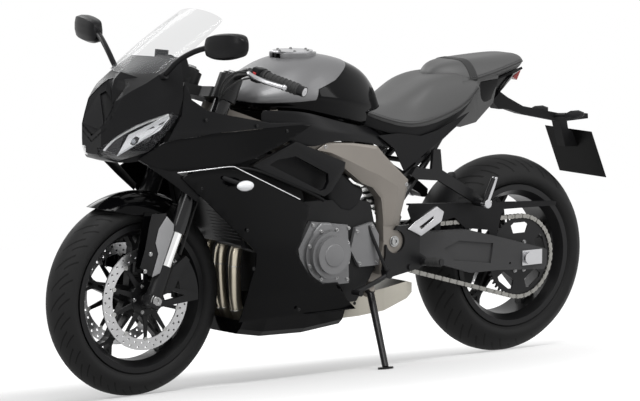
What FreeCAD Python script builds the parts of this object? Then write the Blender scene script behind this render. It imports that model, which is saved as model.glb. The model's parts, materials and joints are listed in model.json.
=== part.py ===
"""Middleweight sport bike, parked on its side stand.

Every piece is drawn in an upright working frame: X forward from the rear axle, Y to the rider's
left, Z up from the ground. The finished pieces are then leaned over onto the side stand and moved
so that the origin is at the bottom centre of the whole machine. Sizes are in millimetres.
"""

import FreeCAD, Part
import math
import os

import Sketcher
from FreeCAD import Placement, Rotation, Vector

SIZES = (
    ("wheelbase", 1426, "rear axle to front axle"),
    ("lean_angle", 9, "lean on the side stand, degrees"),
    ("rake_angle", 23.8, "steering axis from the vertical, degrees"),
    ("fork_offset", 45.8, "steering axis to the fork legs"),
    ("origin_ahead", 683, "rear axle to the origin"),
    ("origin_left", 168, "wheel plane to the origin, on the ground"),
    ("seat_gap", 0.3, "gap between pieces that seat on each other"),
    ("front_radius", 300, "outer radius of the front tyre"),
    ("front_width", 120, "front tyre section width"),
    ("front_crown", 63, "crown radius of the front tyre"),
    ("bead_radius", 216, "bead seat radius of both rims"),
    ("front_rim_width", 104, "front rim over its flanges"),
    ("flange_height", 10, "rim flange above the bead seat"),
    ("well_depth", 18, "drop centre of the rims"),
    ("rim_wall", 7, "rim barrel wall"),
    ("carcass", 9, "tyre wall"),
    ("spoke_count", 5, "spokes in each wheel"),
    ("spoke_depth", 30, "spoke depth along the axle"),
    ("hub_radius", 34, "wheel hubs"),
    ("front_axle_radius", 12.5, "front spindle"),
    ("axle_bore", 8, "hollow of the front spindle"),
    ("hub_clearance", 0.1, "running clearance of the hubs on their axles"),
    ("front_disc_radius", 155, "front brake discs"),
    ("disc_band", 34, "width of the braking bands"),
    ("front_disc_place", 66.7, "front disc from the wheel plane"),
    ("disc_thickness", 5, "brake discs"),
    ("carrier_radius", 52, "inner ring of a disc carrier"),
    ("rear_radius", 315, "outer radius of the rear tyre"),
    ("rear_width", 180, "rear tyre section width"),
    ("rear_crown", 100, "crown radius of the rear tyre"),
    ("rear_rim_width", 156, "rear rim over its flanges"),
    ("rear_axle_radius", 12.5, "rear spindle"),
    ("rear_disc_radius", 110, "rear brake disc"),
    ("rear_disc_place", 92, "rear disc from the wheel plane"),
    ("chain_line", 103, "chain from the wheel plane"),
    ("chain_pitch", 15.875, "chain pitch"),
    ("rear_teeth", 51, "teeth on the rear sprocket"),
    ("front_teeth", 16, "teeth on the front sprocket"),
    ("output_ahead", 640, "rear axle to the front sprocket"),
    ("output_height", 404, "front sprocket above the ground"),
    ("sprocket_thickness", 6, "sprockets"),
    ("plate_height", 15, "chain side plate height"),
    ("plate_thickness", 2, "chain side plate"),
    ("chain_inside", 8, "chain width between its side plates"),
    ("fork_spread", 105, "fork leg from the wheel plane"),
    ("stanchion_radius", 20.5, "lower fork tubes"),
    ("outer_tube_radius", 27, "upper fork tubes"),
    ("lug_top", 108, "axle lug above the axle, along the leg"),
    ("outer_tube_foot", 214, "foot of the upper fork tube above the axle"),
    ("fork_top", 722, "top of the fork legs above the axle"),
    ("lower_yoke", 476, "underside of the lower yoke above the axle"),
    ("upper_yoke", 636, "underside of the upper yoke above the axle"),
    ("yoke_height", 32, "height of a yoke"),
    ("stem_radius", 17, "steering stem"),
    ("stem_bore", 9, "bore in the foot of the stem"),
    ("bar_half_width", 362, "handlebar end from the wheel plane"),
    ("grip_length", 122, "handlebar grips"),
    ("bar_radius", 11, "handlebar tube"),
    ("grip_radius", 17, "handlebar grips"),
    ("fender_gap", 16, "front tyre to its fender"),
    ("fender_wall", 3.5, "fender wall"),
    ("pivot_ahead", 557, "rear axle to the swingarm pivot"),
    ("pivot_height", 414, "swingarm pivot above the ground"),
    ("pivot_radius", 34, "round boss at the swingarm pivot"),
    ("spar_outside", 165, "outer face of the frame spars"),
    ("spar_wall", 37, "thickness of the frame spars"),
    ("head_radius", 32, "steering head tube"),
    ("head_clearance", 6, "yokes to the steering head"),
    ("tube_radius", 10, "subframe tubes"),
    ("arm_inside", 115, "inner face of the swingarm's arms"),
    ("arm_outside", 145, "outer face of the swingarm's arms"),
    ("crank_ahead", 820, "rear axle to the round crankcase cover"),
    ("crank_height", 396, "round crankcase cover above the ground"),
    ("cover_radius", 72, "round crankcase covers"),
    ("case_half_width", 150, "crankcase side faces"),
    ("panel_wall", 3.5, "bodywork panels"),
    ("screen_wall", 3, "windscreen"),
    ("plate_width", 228, "number plate"),
    ("plate_depth", 165, "number plate, top to bottom"),
    ("plate_wall", 2, "number plate"),
    ("stand_ahead", 622, "rear axle to the side stand's pivot"),
    ("stand_height", 262, "side stand pivot above the ground"),
    ("stand_left", 122, "side stand pivot from the wheel plane"),
    ("foot_ahead", 690, "rear axle to the side stand's foot"),
    ("foot_left", 296, "side stand foot from the wheel plane"),
    ("stand_radius", 11, "side stand tube"),
    ("stand_pin", 7, "side stand pivot bolt"),
    ("foot_radius", 24, "side stand foot"),
    ("foot_wall", 6, "side stand foot"),
    ("bobbin_radius", 4, "threaded hole for a paddock stand bobbin"),
    ("bobbin_depth", 18, "threaded hole for a paddock stand bobbin"),
    ("filler_radius", 62, "filler lid"),
    ("filler_bore", 22, "filler neck"),
    ("filler_depth", 40, "filler neck"),
)

doc = FreeCAD.newDocument("sport_bike")
sheet = doc.addObject("Spreadsheet::Sheet", "sizes")
for row, (alias, amount, note) in enumerate(SIZES, start=1):
    sheet.set(f"A{row}", note)
    sheet.set(f"B{row}", str(amount))
    sheet.setAlias(f"B{row}", alias)
doc.recompute()


class Dim:
    """A size with its spreadsheet expression, so that features stay bound to the cells."""

    def __init__(self, amount, text):
        self.amount = float(amount)
        self.text = text

    def __float__(self):
        return self.amount

    def _join(self, other, sign, amount):
        text = other.text if isinstance(other, Dim) else repr(float(other))
        return Dim(amount, f"({self.text} {sign} {text})")

    def __add__(self, other):
        return self._join(other, "+", self.amount + float(other))

    def __sub__(self, other):
        return self._join(other, "-", self.amount - float(other))

    def __mul__(self, other):
        return self._join(other, "*", self.amount * float(other))

    def __truediv__(self, other):
        return self._join(other, "/", self.amount / float(other))

    def __neg__(self):
        return self * -1

    def root(self):
        """Square root."""
        return Dim(math.sqrt(self.amount), f"sqrt({self.text})")


def size(alias):
    """The size kept in the spreadsheet under that name, with its expression."""
    return Dim(sheet.get(alias), f"sizes.{alias}")


def mm(alias):
    """The plain number kept under that name."""
    return float(sheet.get(alias))


def bind(item, name, amount):
    """Sets a property of a document object, tied to the spreadsheet where it can be."""
    if isinstance(amount, Dim):
        item.setExpression(name, amount.text)
    else:
        setattr(item, name, amount)


LEAN_TURN = Rotation(Vector(1, 0, 0), -mm("lean_angle"))
# The tyres roll onto the sides of their crowns, which lifts the leaned machine a little.
CROWN_LIFT = mm("rear_crown") * (1 - math.cos(math.radians(mm("lean_angle"))))
LEAN = Placement(Vector(-mm("origin_ahead"), -mm("origin_left"), CROWN_LIFT), LEAN_TURN)
FRONT_AXLE = Vector(mm("wheelbase"), 0, mm("front_radius"))
REAR_AXLE = Vector(0, 0, mm("rear_radius"))
FORK = Placement(FRONT_AXLE, Rotation(Vector(0, 1, 0), -mm("rake_angle")))
ALONG_Y = Rotation(Vector(0, 0, 1), 90)
STEER_X = -mm("fork_offset")
GAP = mm("seat_gap")
# Stance at which the chassis is drawn: its pieces follow the pivot and the front axle from there.
DRAWN_PIVOT = Vector(557, 0, 414)
DRAWN_FRONT = Vector(1426, 0, 300)
HEAD_FROM = 1180
DRAWN_TYRE = 315
# Tyre to the beam of the swingarm.
TYRE_ROOM = 30
PARTS = {}


def chassis(x, y, z):
    """A point of the chassis, carried by the swingarm pivot behind and the front axle ahead."""
    share = min(max((x - DRAWN_PIVOT.x) / (HEAD_FROM - DRAWN_PIVOT.x), 0), 1)
    pivot = Vector(mm("pivot_ahead"), 0, mm("pivot_height")) - DRAWN_PIVOT
    ahead = FRONT_AXLE - DRAWN_FRONT
    return Vector(x, y, z) + pivot * (1 - share) + ahead * share


def finish(item, label, place=None):
    """Names a finished piece and leans it over with the rest of the machine."""
    item.Label = label
    item.Placement = LEAN.multiply(place or Placement())
    PARTS[label] = item
    return item


def piece(label, shape, place=None):
    """A finished piece from a shape in the working frame, or in its own frame at place."""
    item = doc.addObject("Part::Feature", label)
    item.Shape = shape
    return finish(item, label, place)


def origin_plane(body, role):
    return [f for f in body.Origin.OriginFeatures if f.Role == role][0]


def sketch_in(body, role, name):
    """A sketch on one of the body's own origin planes."""
    drawn = body.newObject("Sketcher::SketchObject", name)
    drawn.AttachmentSupport = [(origin_plane(body, role), "")]
    drawn.MapMode = "FlatFace"
    return drawn


def fix_point(drawn, index, end, across, up):
    """Dimensions one point of a sketch from the origin, bound to the spreadsheet."""
    for kind, amount in (("DistanceX", across), ("DistanceY", up)):
        number = drawn.addConstraint(Sketcher.Constraint(kind, -1, 1, index, end, float(amount)))
        if isinstance(amount, Dim):
            drawn.setExpression(f"Constraints[{number}]", amount.text)


def outline(drawn, points):
    """A closed outline. A point (across, up, radius) starts an arc that bulges upwards."""
    first = drawn.GeometryCount
    starts = []
    for i, start in enumerate(points):
        end = points[(i + 1) % len(points)]
        a = Vector(float(start[0]), float(start[1]), 0)
        b = Vector(float(end[0]), float(end[1]), 0)
        if len(start) == 3:
            radius = float(start[2])
            sunk = math.sqrt(radius**2 - ((b - a).Length / 2) ** 2)
            centre = (a + b) / 2 - Vector(0, sunk, 0)
            ring = Part.Circle(centre, Vector(0, 0, 1), radius)
            turns = [math.atan2(end.y - centre.y, end.x - centre.x) for end in (b, a)]
            drawn.addGeometry(Part.ArcOfCircle(ring, *turns), False)
            starts.append(2)
        else:
            drawn.addGeometry(Part.LineSegment(a, b), False)
            starts.append(1)
    for i, point in enumerate(points):
        index = first + i
        ahead = (i + 1) % len(points)
        tail = 3 - starts[i]
        drawn.addConstraint(
            Sketcher.Constraint("Coincident", index, tail, first + ahead, starts[ahead])
        )
        fix_point(drawn, index, starts[i], point[0], point[1])
        if len(point) == 3:
            number = drawn.addConstraint(Sketcher.Constraint("Radius", index, float(point[2])))
            if isinstance(point[2], Dim):
                drawn.setExpression(f"Constraints[{number}]", point[2].text)


def circle_in(drawn, radius, across=0.0, up=0.0):
    """A dimensioned circle."""
    centre = Vector(float(across), float(up), 0)
    number = drawn.addGeometry(Part.Circle(centre, Vector(0, 0, 1), float(radius)), False)
    kept = drawn.addConstraint(Sketcher.Constraint("Radius", number, float(radius)))
    if isinstance(radius, Dim):
        drawn.setExpression(f"Constraints[{kept}]", radius.text)
    fix_point(drawn, number, 3, across, up)


def pad(body, drawn, length, name):
    """A pad of a sketch, even on both sides of its plane."""
    made = body.newObject("PartDesign::Pad", name)
    made.Profile = drawn
    bind(made, "Length", length)
    made.Midplane = True
    return made


def pocket(body, drawn, name):
    """A cut of a sketch right through, to both sides of its plane."""
    made = body.newObject("PartDesign::Pocket", name)
    made.Profile = drawn
    made.Type = "ThroughAll"
    made.Midplane = True
    return made


def spun(body, drawn, name):
    """A full turn of a sketch about its horizontal axis."""
    made = body.newObject("PartDesign::Revolution", name)
    made.Profile = drawn
    made.ReferenceAxis = (drawn, ["H_Axis"])
    made.Angle = 360
    return made


def round_array(body, originals, count, name):
    """Copies of features round the body's X axis."""
    made = body.newObject("PartDesign::PolarPattern", name)
    made.Originals = originals
    made.Axis = (origin_plane(body, "X_Axis"), [""])
    made.Angle = 360
    bind(made, "Occurrences", count)
    body.Tip = made
    return made


def box(x, y, z):
    """A block between the two values given on each axis."""
    made = Part.makeBox(x[1] - x[0], y[1] - y[0], z[1] - z[0])
    made.translate(Vector(x[0], y[0], z[0]))
    return made


def rod(start, end, radius):
    """A round bar between two points."""
    span = end - start
    return Part.makeCylinder(radius, span.Length, start, span)


def cone(start, end, low, high):
    """A tapered round bar between two points."""
    span = end - start
    return Part.makeCone(low, high, span.Length, start, span)


def prism(points, along):
    """A flat outline of points, carried along a vector."""
    return Part.Face(Part.makePolygon(points + [points[0]])).extrude(along)


def slab(points, low, high):
    """A side view of the chassis as (x, z) points, between y = low and y = high."""
    wire = [chassis(x, 0, z) + Vector(0, low, 0) for x, z in points]
    return prism(wire, Vector(0, high - low, 0))


def loft(sections, ruled=False):
    """A solid through closed sections of points."""
    wires = [Part.makePolygon(list(points) + [points[0]]) for points in sections]
    return Part.makeLoft(wires, True, ruled)


def smooth(points):
    """A smooth edge through points."""
    curve = Part.BSplineCurve()
    curve.interpolate(Points=points)
    return curve.toShape()


def rounded(points, count):
    """A number of points along the smooth curve through points."""
    return smooth(points).discretize(Number=count)


def both_sides(shape):
    """The shape and its mirror image, as separate solids of one compound."""
    return Part.makeCompound(shape.Solids + shape.mirror(Vector(), Vector(0, 1, 0)).Solids)


def join(*shapes):
    """One solid of several that meet."""
    return shapes[0].fuse(list(shapes[1:])).removeSplitter()


def hose(points, radius, bend=60, sides=8):
    """A hose or bent pipe: straight runs joined by arcs, each as wide as bend and the runs allow."""
    stops = [(points[0], (points[1] - points[0]).normalize())]
    for before, corner, after in zip(points, points[1:], points[2:]):
        back = (before - corner).normalize()
        ahead = (after - corner).normalize()
        half = back.getAngle(ahead) / 2
        reach = min(bend, 0.48 * (before - corner).Length, 0.48 * (after - corner).Length)
        centre = corner + (back + ahead).normalize() * (reach / math.cos(half))
        turn = 180 - math.degrees(2 * half)
        count = max(1, math.ceil(turn / 28))
        axis = ahead.cross(back)
        for step in range(count + 1):
            swung = Rotation(axis, turn * step / count)
            spot = centre + swung.multVec(corner + back * reach - centre)
            stops.append((spot, swung.multVec(-back)))
    stops.append((points[-1], (points[-1] - points[-2]).normalize()))
    corner = radius / math.cos(math.pi / sides)
    across = Rotation(Vector(0, 0, 1), stops[0][1]).multVec(Vector(corner, 0, 0))
    along = stops[0][1]
    rings = []
    for spot, ahead in stops:
        if along.cross(ahead).Length > 1e-6:
            across = Rotation(along, ahead).multVec(across)
        along = ahead
        turns = [Rotation(along, 360 * (number + 0.5) / sides) for number in range(sides)]
        rings.append([spot + turn.multVec(across) for turn in turns])
    faces = [Part.Face(Part.makePolygon(ring + ring[:1])) for ring in (rings[0], rings[-1])]
    for here, beyond in zip(rings, rings[1:]):
        for one in range(sides):
            two = (one + 1) % sides
            corners = [here[one], here[two], beyond[two], beyond[one], here[one]]
            faces.append(Part.Face(Part.makePolygon(corners)))
    return Part.makeSolid(Part.makeShell(faces))


def body_of(name):
    return doc.addObject("PartDesign::Body", name)


def tyre(label, axle, radius, width, crown, rim_width):
    """Hollow tyre: round crown, side walls and beads that sit beside the rim's flanges."""
    body = body_of(label)
    drawn = sketch_in(body, "XY_Plane", f"{label}_section")
    side = width / 2
    wall = size("carcass")
    inside = side - wall
    levels = [(share, radius - crown + (crown * crown - side * side * share * share).root())
              for share in (1.0, 0.85, 0.45)]
    ceiling = levels[0][1] - wall / 2
    bead = size("bead_radius") + size("seat_gap")
    seat = rim_width / 2 - size("rim_wall") - size("seat_gap")
    heel = bead + size("flange_height") + 3
    points = [
        (-seat, bead),
        (-seat, heel),
        *[(-side * share, level) for share, level in levels],
        *[(side * share, level) for share, level in reversed(levels)],
        (seat, heel),
        (seat, bead),
        (seat - wall, bead),
        (inside, ceiling),
        (-inside, ceiling),
        (wall - seat, bead),
    ]
    outline(drawn, points)
    spun(body, drawn, f"{label}_turn")
    return finish(body, label, Placement(axle, ALONG_Y))


def hub_length(disc_place):
    """A hub reaches to the brake disc beside it."""
    return (size(disc_place) - size("disc_thickness") / 2 - size("seat_gap")) * 2


def rim(label, axle, rim_width, hub, axle_radius):
    """Cast wheel: barrel with a drop centre, hub, and spokes of two legs that join at the rim."""
    body = body_of(label)
    drawn = sketch_in(body, "XY_Plane", f"{label}_section")
    half = rim_width / 2
    bead = size("bead_radius")
    wall = size("rim_wall")
    lip = bead + size("flange_height")
    well = bead - size("well_depth")
    barrel = [
        (-half, lip),
        (wall - half, lip),
        (wall - half, bead),
        (-half + 30, well),
        (half - 30, well),
        (half - wall, bead),
        (half - wall, lip),
        (half, lip),
        (half, bead - wall),
        (half - 28, well - wall),
        (-half + 28, well - wall),
        (-half, bead - wall),
    ]
    outline(drawn, barrel)
    spun(body, drawn, f"{label}_barrel")
    core = sketch_in(body, "YZ_Plane", f"{label}_core")
    bore = axle_radius + size("hub_clearance")
    circle_in(core, size("hub_radius"))
    circle_in(core, bore)
    pad(body, core, hub, f"{label}_hub")
    leg = sketch_in(body, "YZ_Plane", f"{label}_leg")
    root = size("hub_radius") - 4
    tip = well - wall + 2
    neck = tip - 44
    outline(
        leg,
        [
            (-26.0, root * 0.55),
            (26.0, root * 0.55),
            (23.0, root + 22),
            (11.0, neck),
            (15.0, neck + 16),
            (31.0, tip - 4),
            (31.0, tip),
            (-31.0, tip),
            (-31.0, tip - 4),
            (-15.0, neck + 16),
            (-11.0, neck),
            (-23.0, root + 22),
        ],
    )
    outline(leg, [(-12.0, root + 30), (12.0, root + 30), (3.0, neck - 6), (-3.0, neck - 6)])
    outline(leg, [(0.0, neck + 12), (16.0, tip - 8), (-16.0, tip - 8)])
    spoke = pad(body, leg, size("spoke_depth"), f"{label}_spoke")
    round_array(body, [spoke], size("spoke_count"), f"{label}_spokes")
    return finish(body, label, Placement(axle, ALONG_Y))


def disc_body(name, centre, radius):
    """Braking band on a carrier of ten arms."""
    body = body_of(name)
    band = sketch_in(body, "YZ_Plane", f"{name}_band")
    circle_in(band, radius)
    circle_in(band, radius - size("disc_band"))
    thickness = size("disc_thickness")
    pad(body, band, thickness, f"{name}_ring")
    arm = sketch_in(body, "YZ_Plane", f"{name}_arm")
    inner = size("carrier_radius")
    reach = radius - size("disc_band") + 3
    outline(arm, [(-9.0, inner - 6), (9.0, inner - 6), (6.0, reach), (-6.0, reach)])
    spoke = pad(body, arm, thickness, f"{name}_spoke")
    round_array(body, [spoke], 10, f"{name}_spokes")
    core = sketch_in(body, "YZ_Plane", f"{name}_core")
    circle_in(core, inner)
    circle_in(core, inner - 22)
    body.Tip = pad(body, core, thickness, f"{name}_carrier")
    body.Placement = Placement(centre, ALONG_Y)
    return body


def cylinder(name, radius, height, start, along):
    """A round primitive that starts at a point and runs along a direction."""
    item = doc.addObject("Part::Cylinder", name)
    bind(item, "Radius", radius)
    bind(item, "Height", height)
    item.Placement = Placement(start, Rotation(Vector(0, 0, 1), along))
    return item


def less(name, base, tool):
    made = doc.addObject("Part::Cut", name)
    made.Base = base
    made.Tool = tool
    return made


def with_mirror(name, item):
    """The item and its mirror image in the wheel plane, as one compound."""
    other = doc.addObject("Part::Mirroring", f"{name}_right")
    other.Source = item
    other.Normal = Vector(0, 1, 0)
    made = doc.addObject("Part::Compound", name)
    made.Links = [item, other]
    return made


def in_fork(x, y, z):
    """A point of the working frame, seen from the fork: Z up the legs, origin on the axle."""
    return FORK.inverse().multVec(Vector(x, y, z))


def ball(centre, rx, ry, rz, turn=None):
    """A rounded pod with three half-axes, flattened at its two ends along Y."""
    sections = []
    for share, out in ((-1, 0.3), (-0.7, 0.74), (0, 1), (0.7, 0.74), (1, 0.3)):
        ring = []
        for step in range(8):
            angle = math.radians(45 * step + 22.5)
            ring.append(Vector(rx * out * math.cos(angle), ry * share, rz * out * math.sin(angle)))
        sections.append(ring)
    made = loft(sections, ruled=True)
    made.Placement = Placement(centre, turn or Rotation())
    return made


def seated(shape, base, lift):
    """The shape cut by what carries it, with a gap in the direction of lift."""
    raised = base.copy()
    raised.translate(lift)
    return max(shape.cut(base).cut(raised).Solids, key=lambda solid: solid.Volume)


def strips(rows, wall):
    """A creased panel: ruled between smooth lines that run front to back, thick towards the
    wheel plane."""
    inward = Vector(0, -wall, 0)
    lines = [rounded([chassis(*point) for point in line], 9) for line in rows]
    sections = []
    for stop in zip(*lines):
        sections.append(list(stop) + [point + inward for point in reversed(stop)])
    return loft(sections, ruled=True)


def panel(rows, side_view, wall):
    """The stretch of a creased panel that lies inside a side view."""
    return strips(rows, wall).common(slab(side_view, 0, 400))


tyre("front_tyre", FRONT_AXLE, size("front_radius"), size("front_width"), size("front_crown"),
     size("front_rim_width"))
tyre("rear_tyre", REAR_AXLE, size("rear_radius"), size("rear_width"), size("rear_crown"),
     size("rear_rim_width"))
rim("front_rim", FRONT_AXLE, size("front_rim_width"), hub_length("front_disc_place"),
    size("front_axle_radius"))
rim("rear_rim", REAR_AXLE, size("rear_rim_width"), hub_length("rear_disc_place"),
    size("rear_axle_radius"))


def front_wheel_pieces():
    """Brake discs, spindle and what the fork carries beside the wheel."""
    place = FRONT_AXLE + Vector(0, mm("front_disc_place"), 0)
    left = disc_body("front_disc", place, size("front_disc_radius"))
    finish(with_mirror("front_discs", left), "front_discs")
    reach = mm("fork_spread") + 22
    start = FRONT_AXLE - Vector(0, reach, 0)
    span = size("fork_spread") * 2 + 44
    across = Vector(0, 1, 0)
    spindle = cylinder("front_spindle", size("front_axle_radius"), span, start, across)
    hollow = cylinder("front_hollow", size("axle_bore"), span, start, across)
    finish(less("front_axle", spindle, hollow), "front_axle")


def fork_pieces():
    """Legs, in the fork's own frame: lugs with the caliper arms, lower tubes and upper tubes."""
    spread = mm("fork_spread")
    leg = Vector(0, spread, 0)
    up = Vector(0, 0, 1)
    top = mm("lug_top")
    seat = mm("front_axle_radius") + GAP
    lug = cone(leg - up * 22, leg + up * top, 26, 24.5)
    clamp = rod(Vector(0, spread - 15, 0), Vector(0, spread + 17, 0), 27)
    arms = [(1404, 338), (1352, 392), (1304, 424), (1290, 410), (1326, 366), (1344, 330)]
    arms += [(1296, 318), (1258, 304), (1260, 288), (1330, 282), (1410, 276)]
    outer = [in_fork(x, spread - 12, z) for x, z in arms]
    plate = prism(outer, Vector(0, 12, 0))
    window = [in_fork(x, spread - 13, z) for x, z in [(1388, 312), (1352, 322), (1310, 305), (1380, 294)]]
    plate = plate.cut(prism(window, Vector(0, 14, 0)))
    bore = rod(Vector(0, spread - 30, 0), Vector(0, spread + 30, 0), seat)
    piece("fork_lowers", both_sides(join(lug, clamp, plate).cut(bore)), FORK)
    start = leg + up * top
    length = size("outer_tube_foot") - size("lug_top") + 60
    inner = cylinder("lower_tube", size("stanchion_radius"), length, start, up)
    finish(with_mirror("fork_tubes", inner), "fork_tubes", FORK)
    foot = leg + up * mm("outer_tube_foot")
    length = size("fork_top") - size("outer_tube_foot")
    outside = cylinder("upper_tube_outside", size("outer_tube_radius"), length, foot, up)
    inside = size("stanchion_radius") + size("seat_gap")
    hollow = cylinder("upper_tube_inside", inside, length - 14, foot, up)
    finish(with_mirror("fork_outers", less("upper_tube", outside, hollow)), "fork_outers", FORK)


def yoke_pieces():
    """Two yokes and the steering stem between them."""
    spread = mm("fork_spread")
    reach = mm("outer_tube_radius") + 11
    height = mm("yoke_height")
    stem = Vector(STEER_X, 0, 0)
    made = []
    for foot in (mm("lower_yoke"), mm("upper_yoke")):
        web = [(-80, -24), (-80, 24), (-26, spread + 6), (26, spread + 6), (30, 70), (14, 0)]
        web += [(30, -70), (26, -spread - 6), (-26, -spread - 6)]
        plate = prism([Vector(x, y, foot) for x, y in web], Vector(0, 0, height))
        ends = [
            rod(Vector(0, y, foot), Vector(0, y, foot + height), reach) for y in (-spread, spread)
        ]
        made.append(join(plate, *ends))
    low = stem + Vector(0, 0, mm("lower_yoke") - 6)
    high = stem + Vector(0, 0, mm("upper_yoke") + height + 8)
    column = rod(low, high, mm("stem_radius"))
    nut = rod(high - Vector(0, 0, 8), high + Vector(0, 0, 4), 22)
    whole = join(made[0], made[1], column, nut)
    for y in (-spread, spread):
        foot = Vector(0, y, mm("lower_yoke") - 1)
        whole = whole.cut(rod(foot, foot + Vector(0, 0, 400), mm("outer_tube_radius") + GAP))
    whole = whole.cut(rod(low, low + Vector(0, 0, 40), mm("stem_bore")))
    piece("yokes", whole, FORK)


def bar_line():
    """Clip-on bar, left: from its clamp, along the rise, to the end of the grip."""
    tip = Vector(1078, mm("bar_half_width"), 930.5)
    shoulder = Vector(1141.5, 199, 977.8)
    return [in_fork(1146, 128, 952), in_fork(*shoulder), in_fork(*tip)]


def bar_pieces():
    """Clip-on handlebars, grips, switch housings, levers and the brake fluid reservoir."""
    start, shoulder, tip = bar_line()
    out = (tip - shoulder).normalize()
    bar = hose([start, shoulder, tip], mm("bar_radius"), 18)
    low = Vector(0, mm("fork_spread"), mm("upper_yoke") + mm("yoke_height") + GAP)
    high = Vector(0, mm("fork_spread"), mm("fork_top") - 8)
    clamp = rod(low, high, mm("outer_tube_radius") + 10)
    hole = rod(low, high + Vector(0, 0, 60), mm("outer_tube_radius") + GAP)
    weight = rod(tip, tip + out * 20, mm("grip_radius") - 1)
    piece("handlebars", both_sides(join(bar, clamp, weight).cut(hole)), FORK)
    inner = tip - out * mm("grip_length")
    core = hose([start, shoulder, tip], mm("bar_radius") + GAP, 18)
    grip = rod(inner, tip - out * GAP, mm("grip_radius"))
    flange = rod(inner, inner + out * 6, mm("grip_radius") + 5)
    piece("grips", both_sides(join(grip, flange).cut(core)), FORK)
    hub = inner - out * GAP
    housing = rod(hub - out * 38, hub, 21).cut(core)
    ahead = Vector(1, 0, -0.25).normalize()
    root = hub - out * 24
    perch = rod(root + ahead * 16, root + ahead * 46, 9)
    tip_lever = tip - out * 4 + ahead * 52
    lever = hose([root + ahead * 42, hub + out * 12 + ahead * 66, tip_lever], 6)
    knob = ball(tip_lever, 8, 8, 8)
    side = join(housing, perch, lever, knob)
    cup = rod(in_fork(1180, -200, 976), in_fork(1176, -200, 1012), 21)
    arm = rod(in_fork(1138, -232, 968), in_fork(1172, -208, 984), 6)
    mirror_side = side.mirror(Vector(), Vector(0, 1, 0))
    cup = join(cup, arm).cut(core.mirror(Vector(), Vector(0, 1, 0)))
    piece("controls", Part.makeCompound([side] + join(mirror_side, cup).Solids), FORK)


def fender_piece():
    """Front fender over the tyre, with a plate down to each fork lug."""
    gap = mm("fender_gap")
    wall = mm("fender_wall")
    inner = mm("front_radius") + gap
    crown = mm("front_width") / 2 + gap - 2
    y, x = FRONT_AXLE.z, FRONT_AXLE.x
    half = [(0, inner), (0.5 * crown, inner - 12), (0.86 * crown, inner - 34), (crown, inner - 70)]
    outer = [(a, r + wall) for a, r in half[:-1]] + [(crown + wall, inner - 70)]
    under = [Vector(x, s * a, y + r) for s, rows in ((-1, half[::-1]), (1, half[1:])) for a, r in rows]
    over = [Vector(x, s * a, y + r) for s, rows in ((1, outer[::-1]), (-1, outer[1:])) for a, r in rows]
    section = rounded(under, 9) + rounded(over, 9)
    ring = Part.makePolygon(section + section[:1])
    arch = Part.Face(ring).revolve(FRONT_AXLE, Vector(0, 1, 0), 360)
    lower = [(208, 290), (171, 282), (44, 256), (-48, 240), (-80, 262), (-130, 290)]
    cutter = [(x + a, y + b) for a, b in lower] + [(x - 130, y + 380), (x + 230, y + 380)]
    cutter = [Vector(a, -200, b) for a, b in cutter]
    arch = arch.common(prism(cutter, Vector(0, 400, 0)))
    inside = mm("front_disc_place") + mm("disc_thickness") / 2 + 5.5
    shin = [(0, 258), (-45, 254), (-76, 216), (-9, 78), (12, 76), (47, 87)]
    shin = prism([Vector(x + a, inside, y + b) for a, b in shin], Vector(0, wall, 0))
    bolts = [in_fork(x + a, inside, y + b) for a, b in ((-4, 82), (-16, 108))]
    bosses = []
    for bolt in bolts:
        end = Vector(bolt.x, mm("fork_spread"), bolt.z)
        bosses.append(rod(bolt, end, 9))
    leg = Vector(0, mm("fork_spread"), 0)
    top = Vector(0, 0, mm("lug_top") + GAP)
    legs = cone(leg - Vector(0, 0, 22), leg + top, 26 + GAP, 24.5 + GAP)
    legs = legs.fuse(rod(leg + top, leg + top * 3, mm("stanchion_radius") + GAP))
    shin.Placement = FORK.inverse()
    pegs = [peg.cut(legs) for peg in bosses]
    pegs = [max(peg.Solids, key=lambda s: -s.CenterOfMass.y) for peg in pegs]
    arch.Placement = FORK.inverse()
    side = join(shin, *pegs)
    other = side.mirror(Vector(), Vector(0, 1, 0))
    piece("front_fender", join(arch, side, other), FORK)


def caliper(axle, place, inner, outer, low, high, thick, slot, rim_gap):
    """A brake caliper: a ring sector round the disc's edge, open where the disc runs."""
    across = Vector(0, 1, 0)
    start = axle + Vector(0, place - thick / 2, 0)
    block = Part.makeCylinder(outer, thick, start, across)
    block = block.cut(Part.makeCylinder(inner, thick, start, across))
    a, b = math.radians(low), math.radians(high)
    far = outer * 2
    mid = (a + b) / 2
    fan = [start + Vector(far * math.cos(q), 0, far * math.sin(q)) for q in (a, mid, b)]
    block = block.common(prism([start] + fan, Vector(0, thick, 0)))
    run = axle + Vector(0, place - slot / 2, 0)
    return block.cut(Part.makeCylinder(outer - rim_gap, slot, run, across))


def caliper_pieces():
    disc = mm("front_disc_radius")
    slot = mm("disc_thickness") + 10
    outside = mm("fork_spread") - 12 - GAP
    thick = 2 * (outside - mm("front_disc_place"))
    front = caliper(
        FRONT_AXLE, mm("front_disc_place"), disc - 42, disc + 21, 143, 184, thick, slot, 14
    )
    front.Placement = FORK.inverse()
    piece("front_calipers", both_sides(front), FORK)
    radius = mm("rear_disc_radius")
    place = -mm("rear_disc_place")
    rear = caliper(REAR_AXLE, place, radius - 34, radius + 16, 292, 338, 28, slot, 10)
    y = place - 14 - GAP
    carrier = prism(
        [REAR_AXLE + Vector(a, y, b) for a, b in ((-14, -20), (26, 20), (112, -50), (60, -110))],
        Vector(0, -(mm("arm_inside") + y - GAP), 0),
    )
    eye = REAR_AXLE + Vector(0, y, 0)
    depth = Vector(0, -(mm("arm_inside") + y - GAP), 0)
    ring = rod(eye, eye + depth, 27)
    hole = rod(eye, eye + depth, mm("rear_axle_radius") + GAP)
    carrier = join(carrier, ring).cut(hole)
    piece("rear_caliper", Part.makeCompound([carrier] + rear.Solids))


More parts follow.
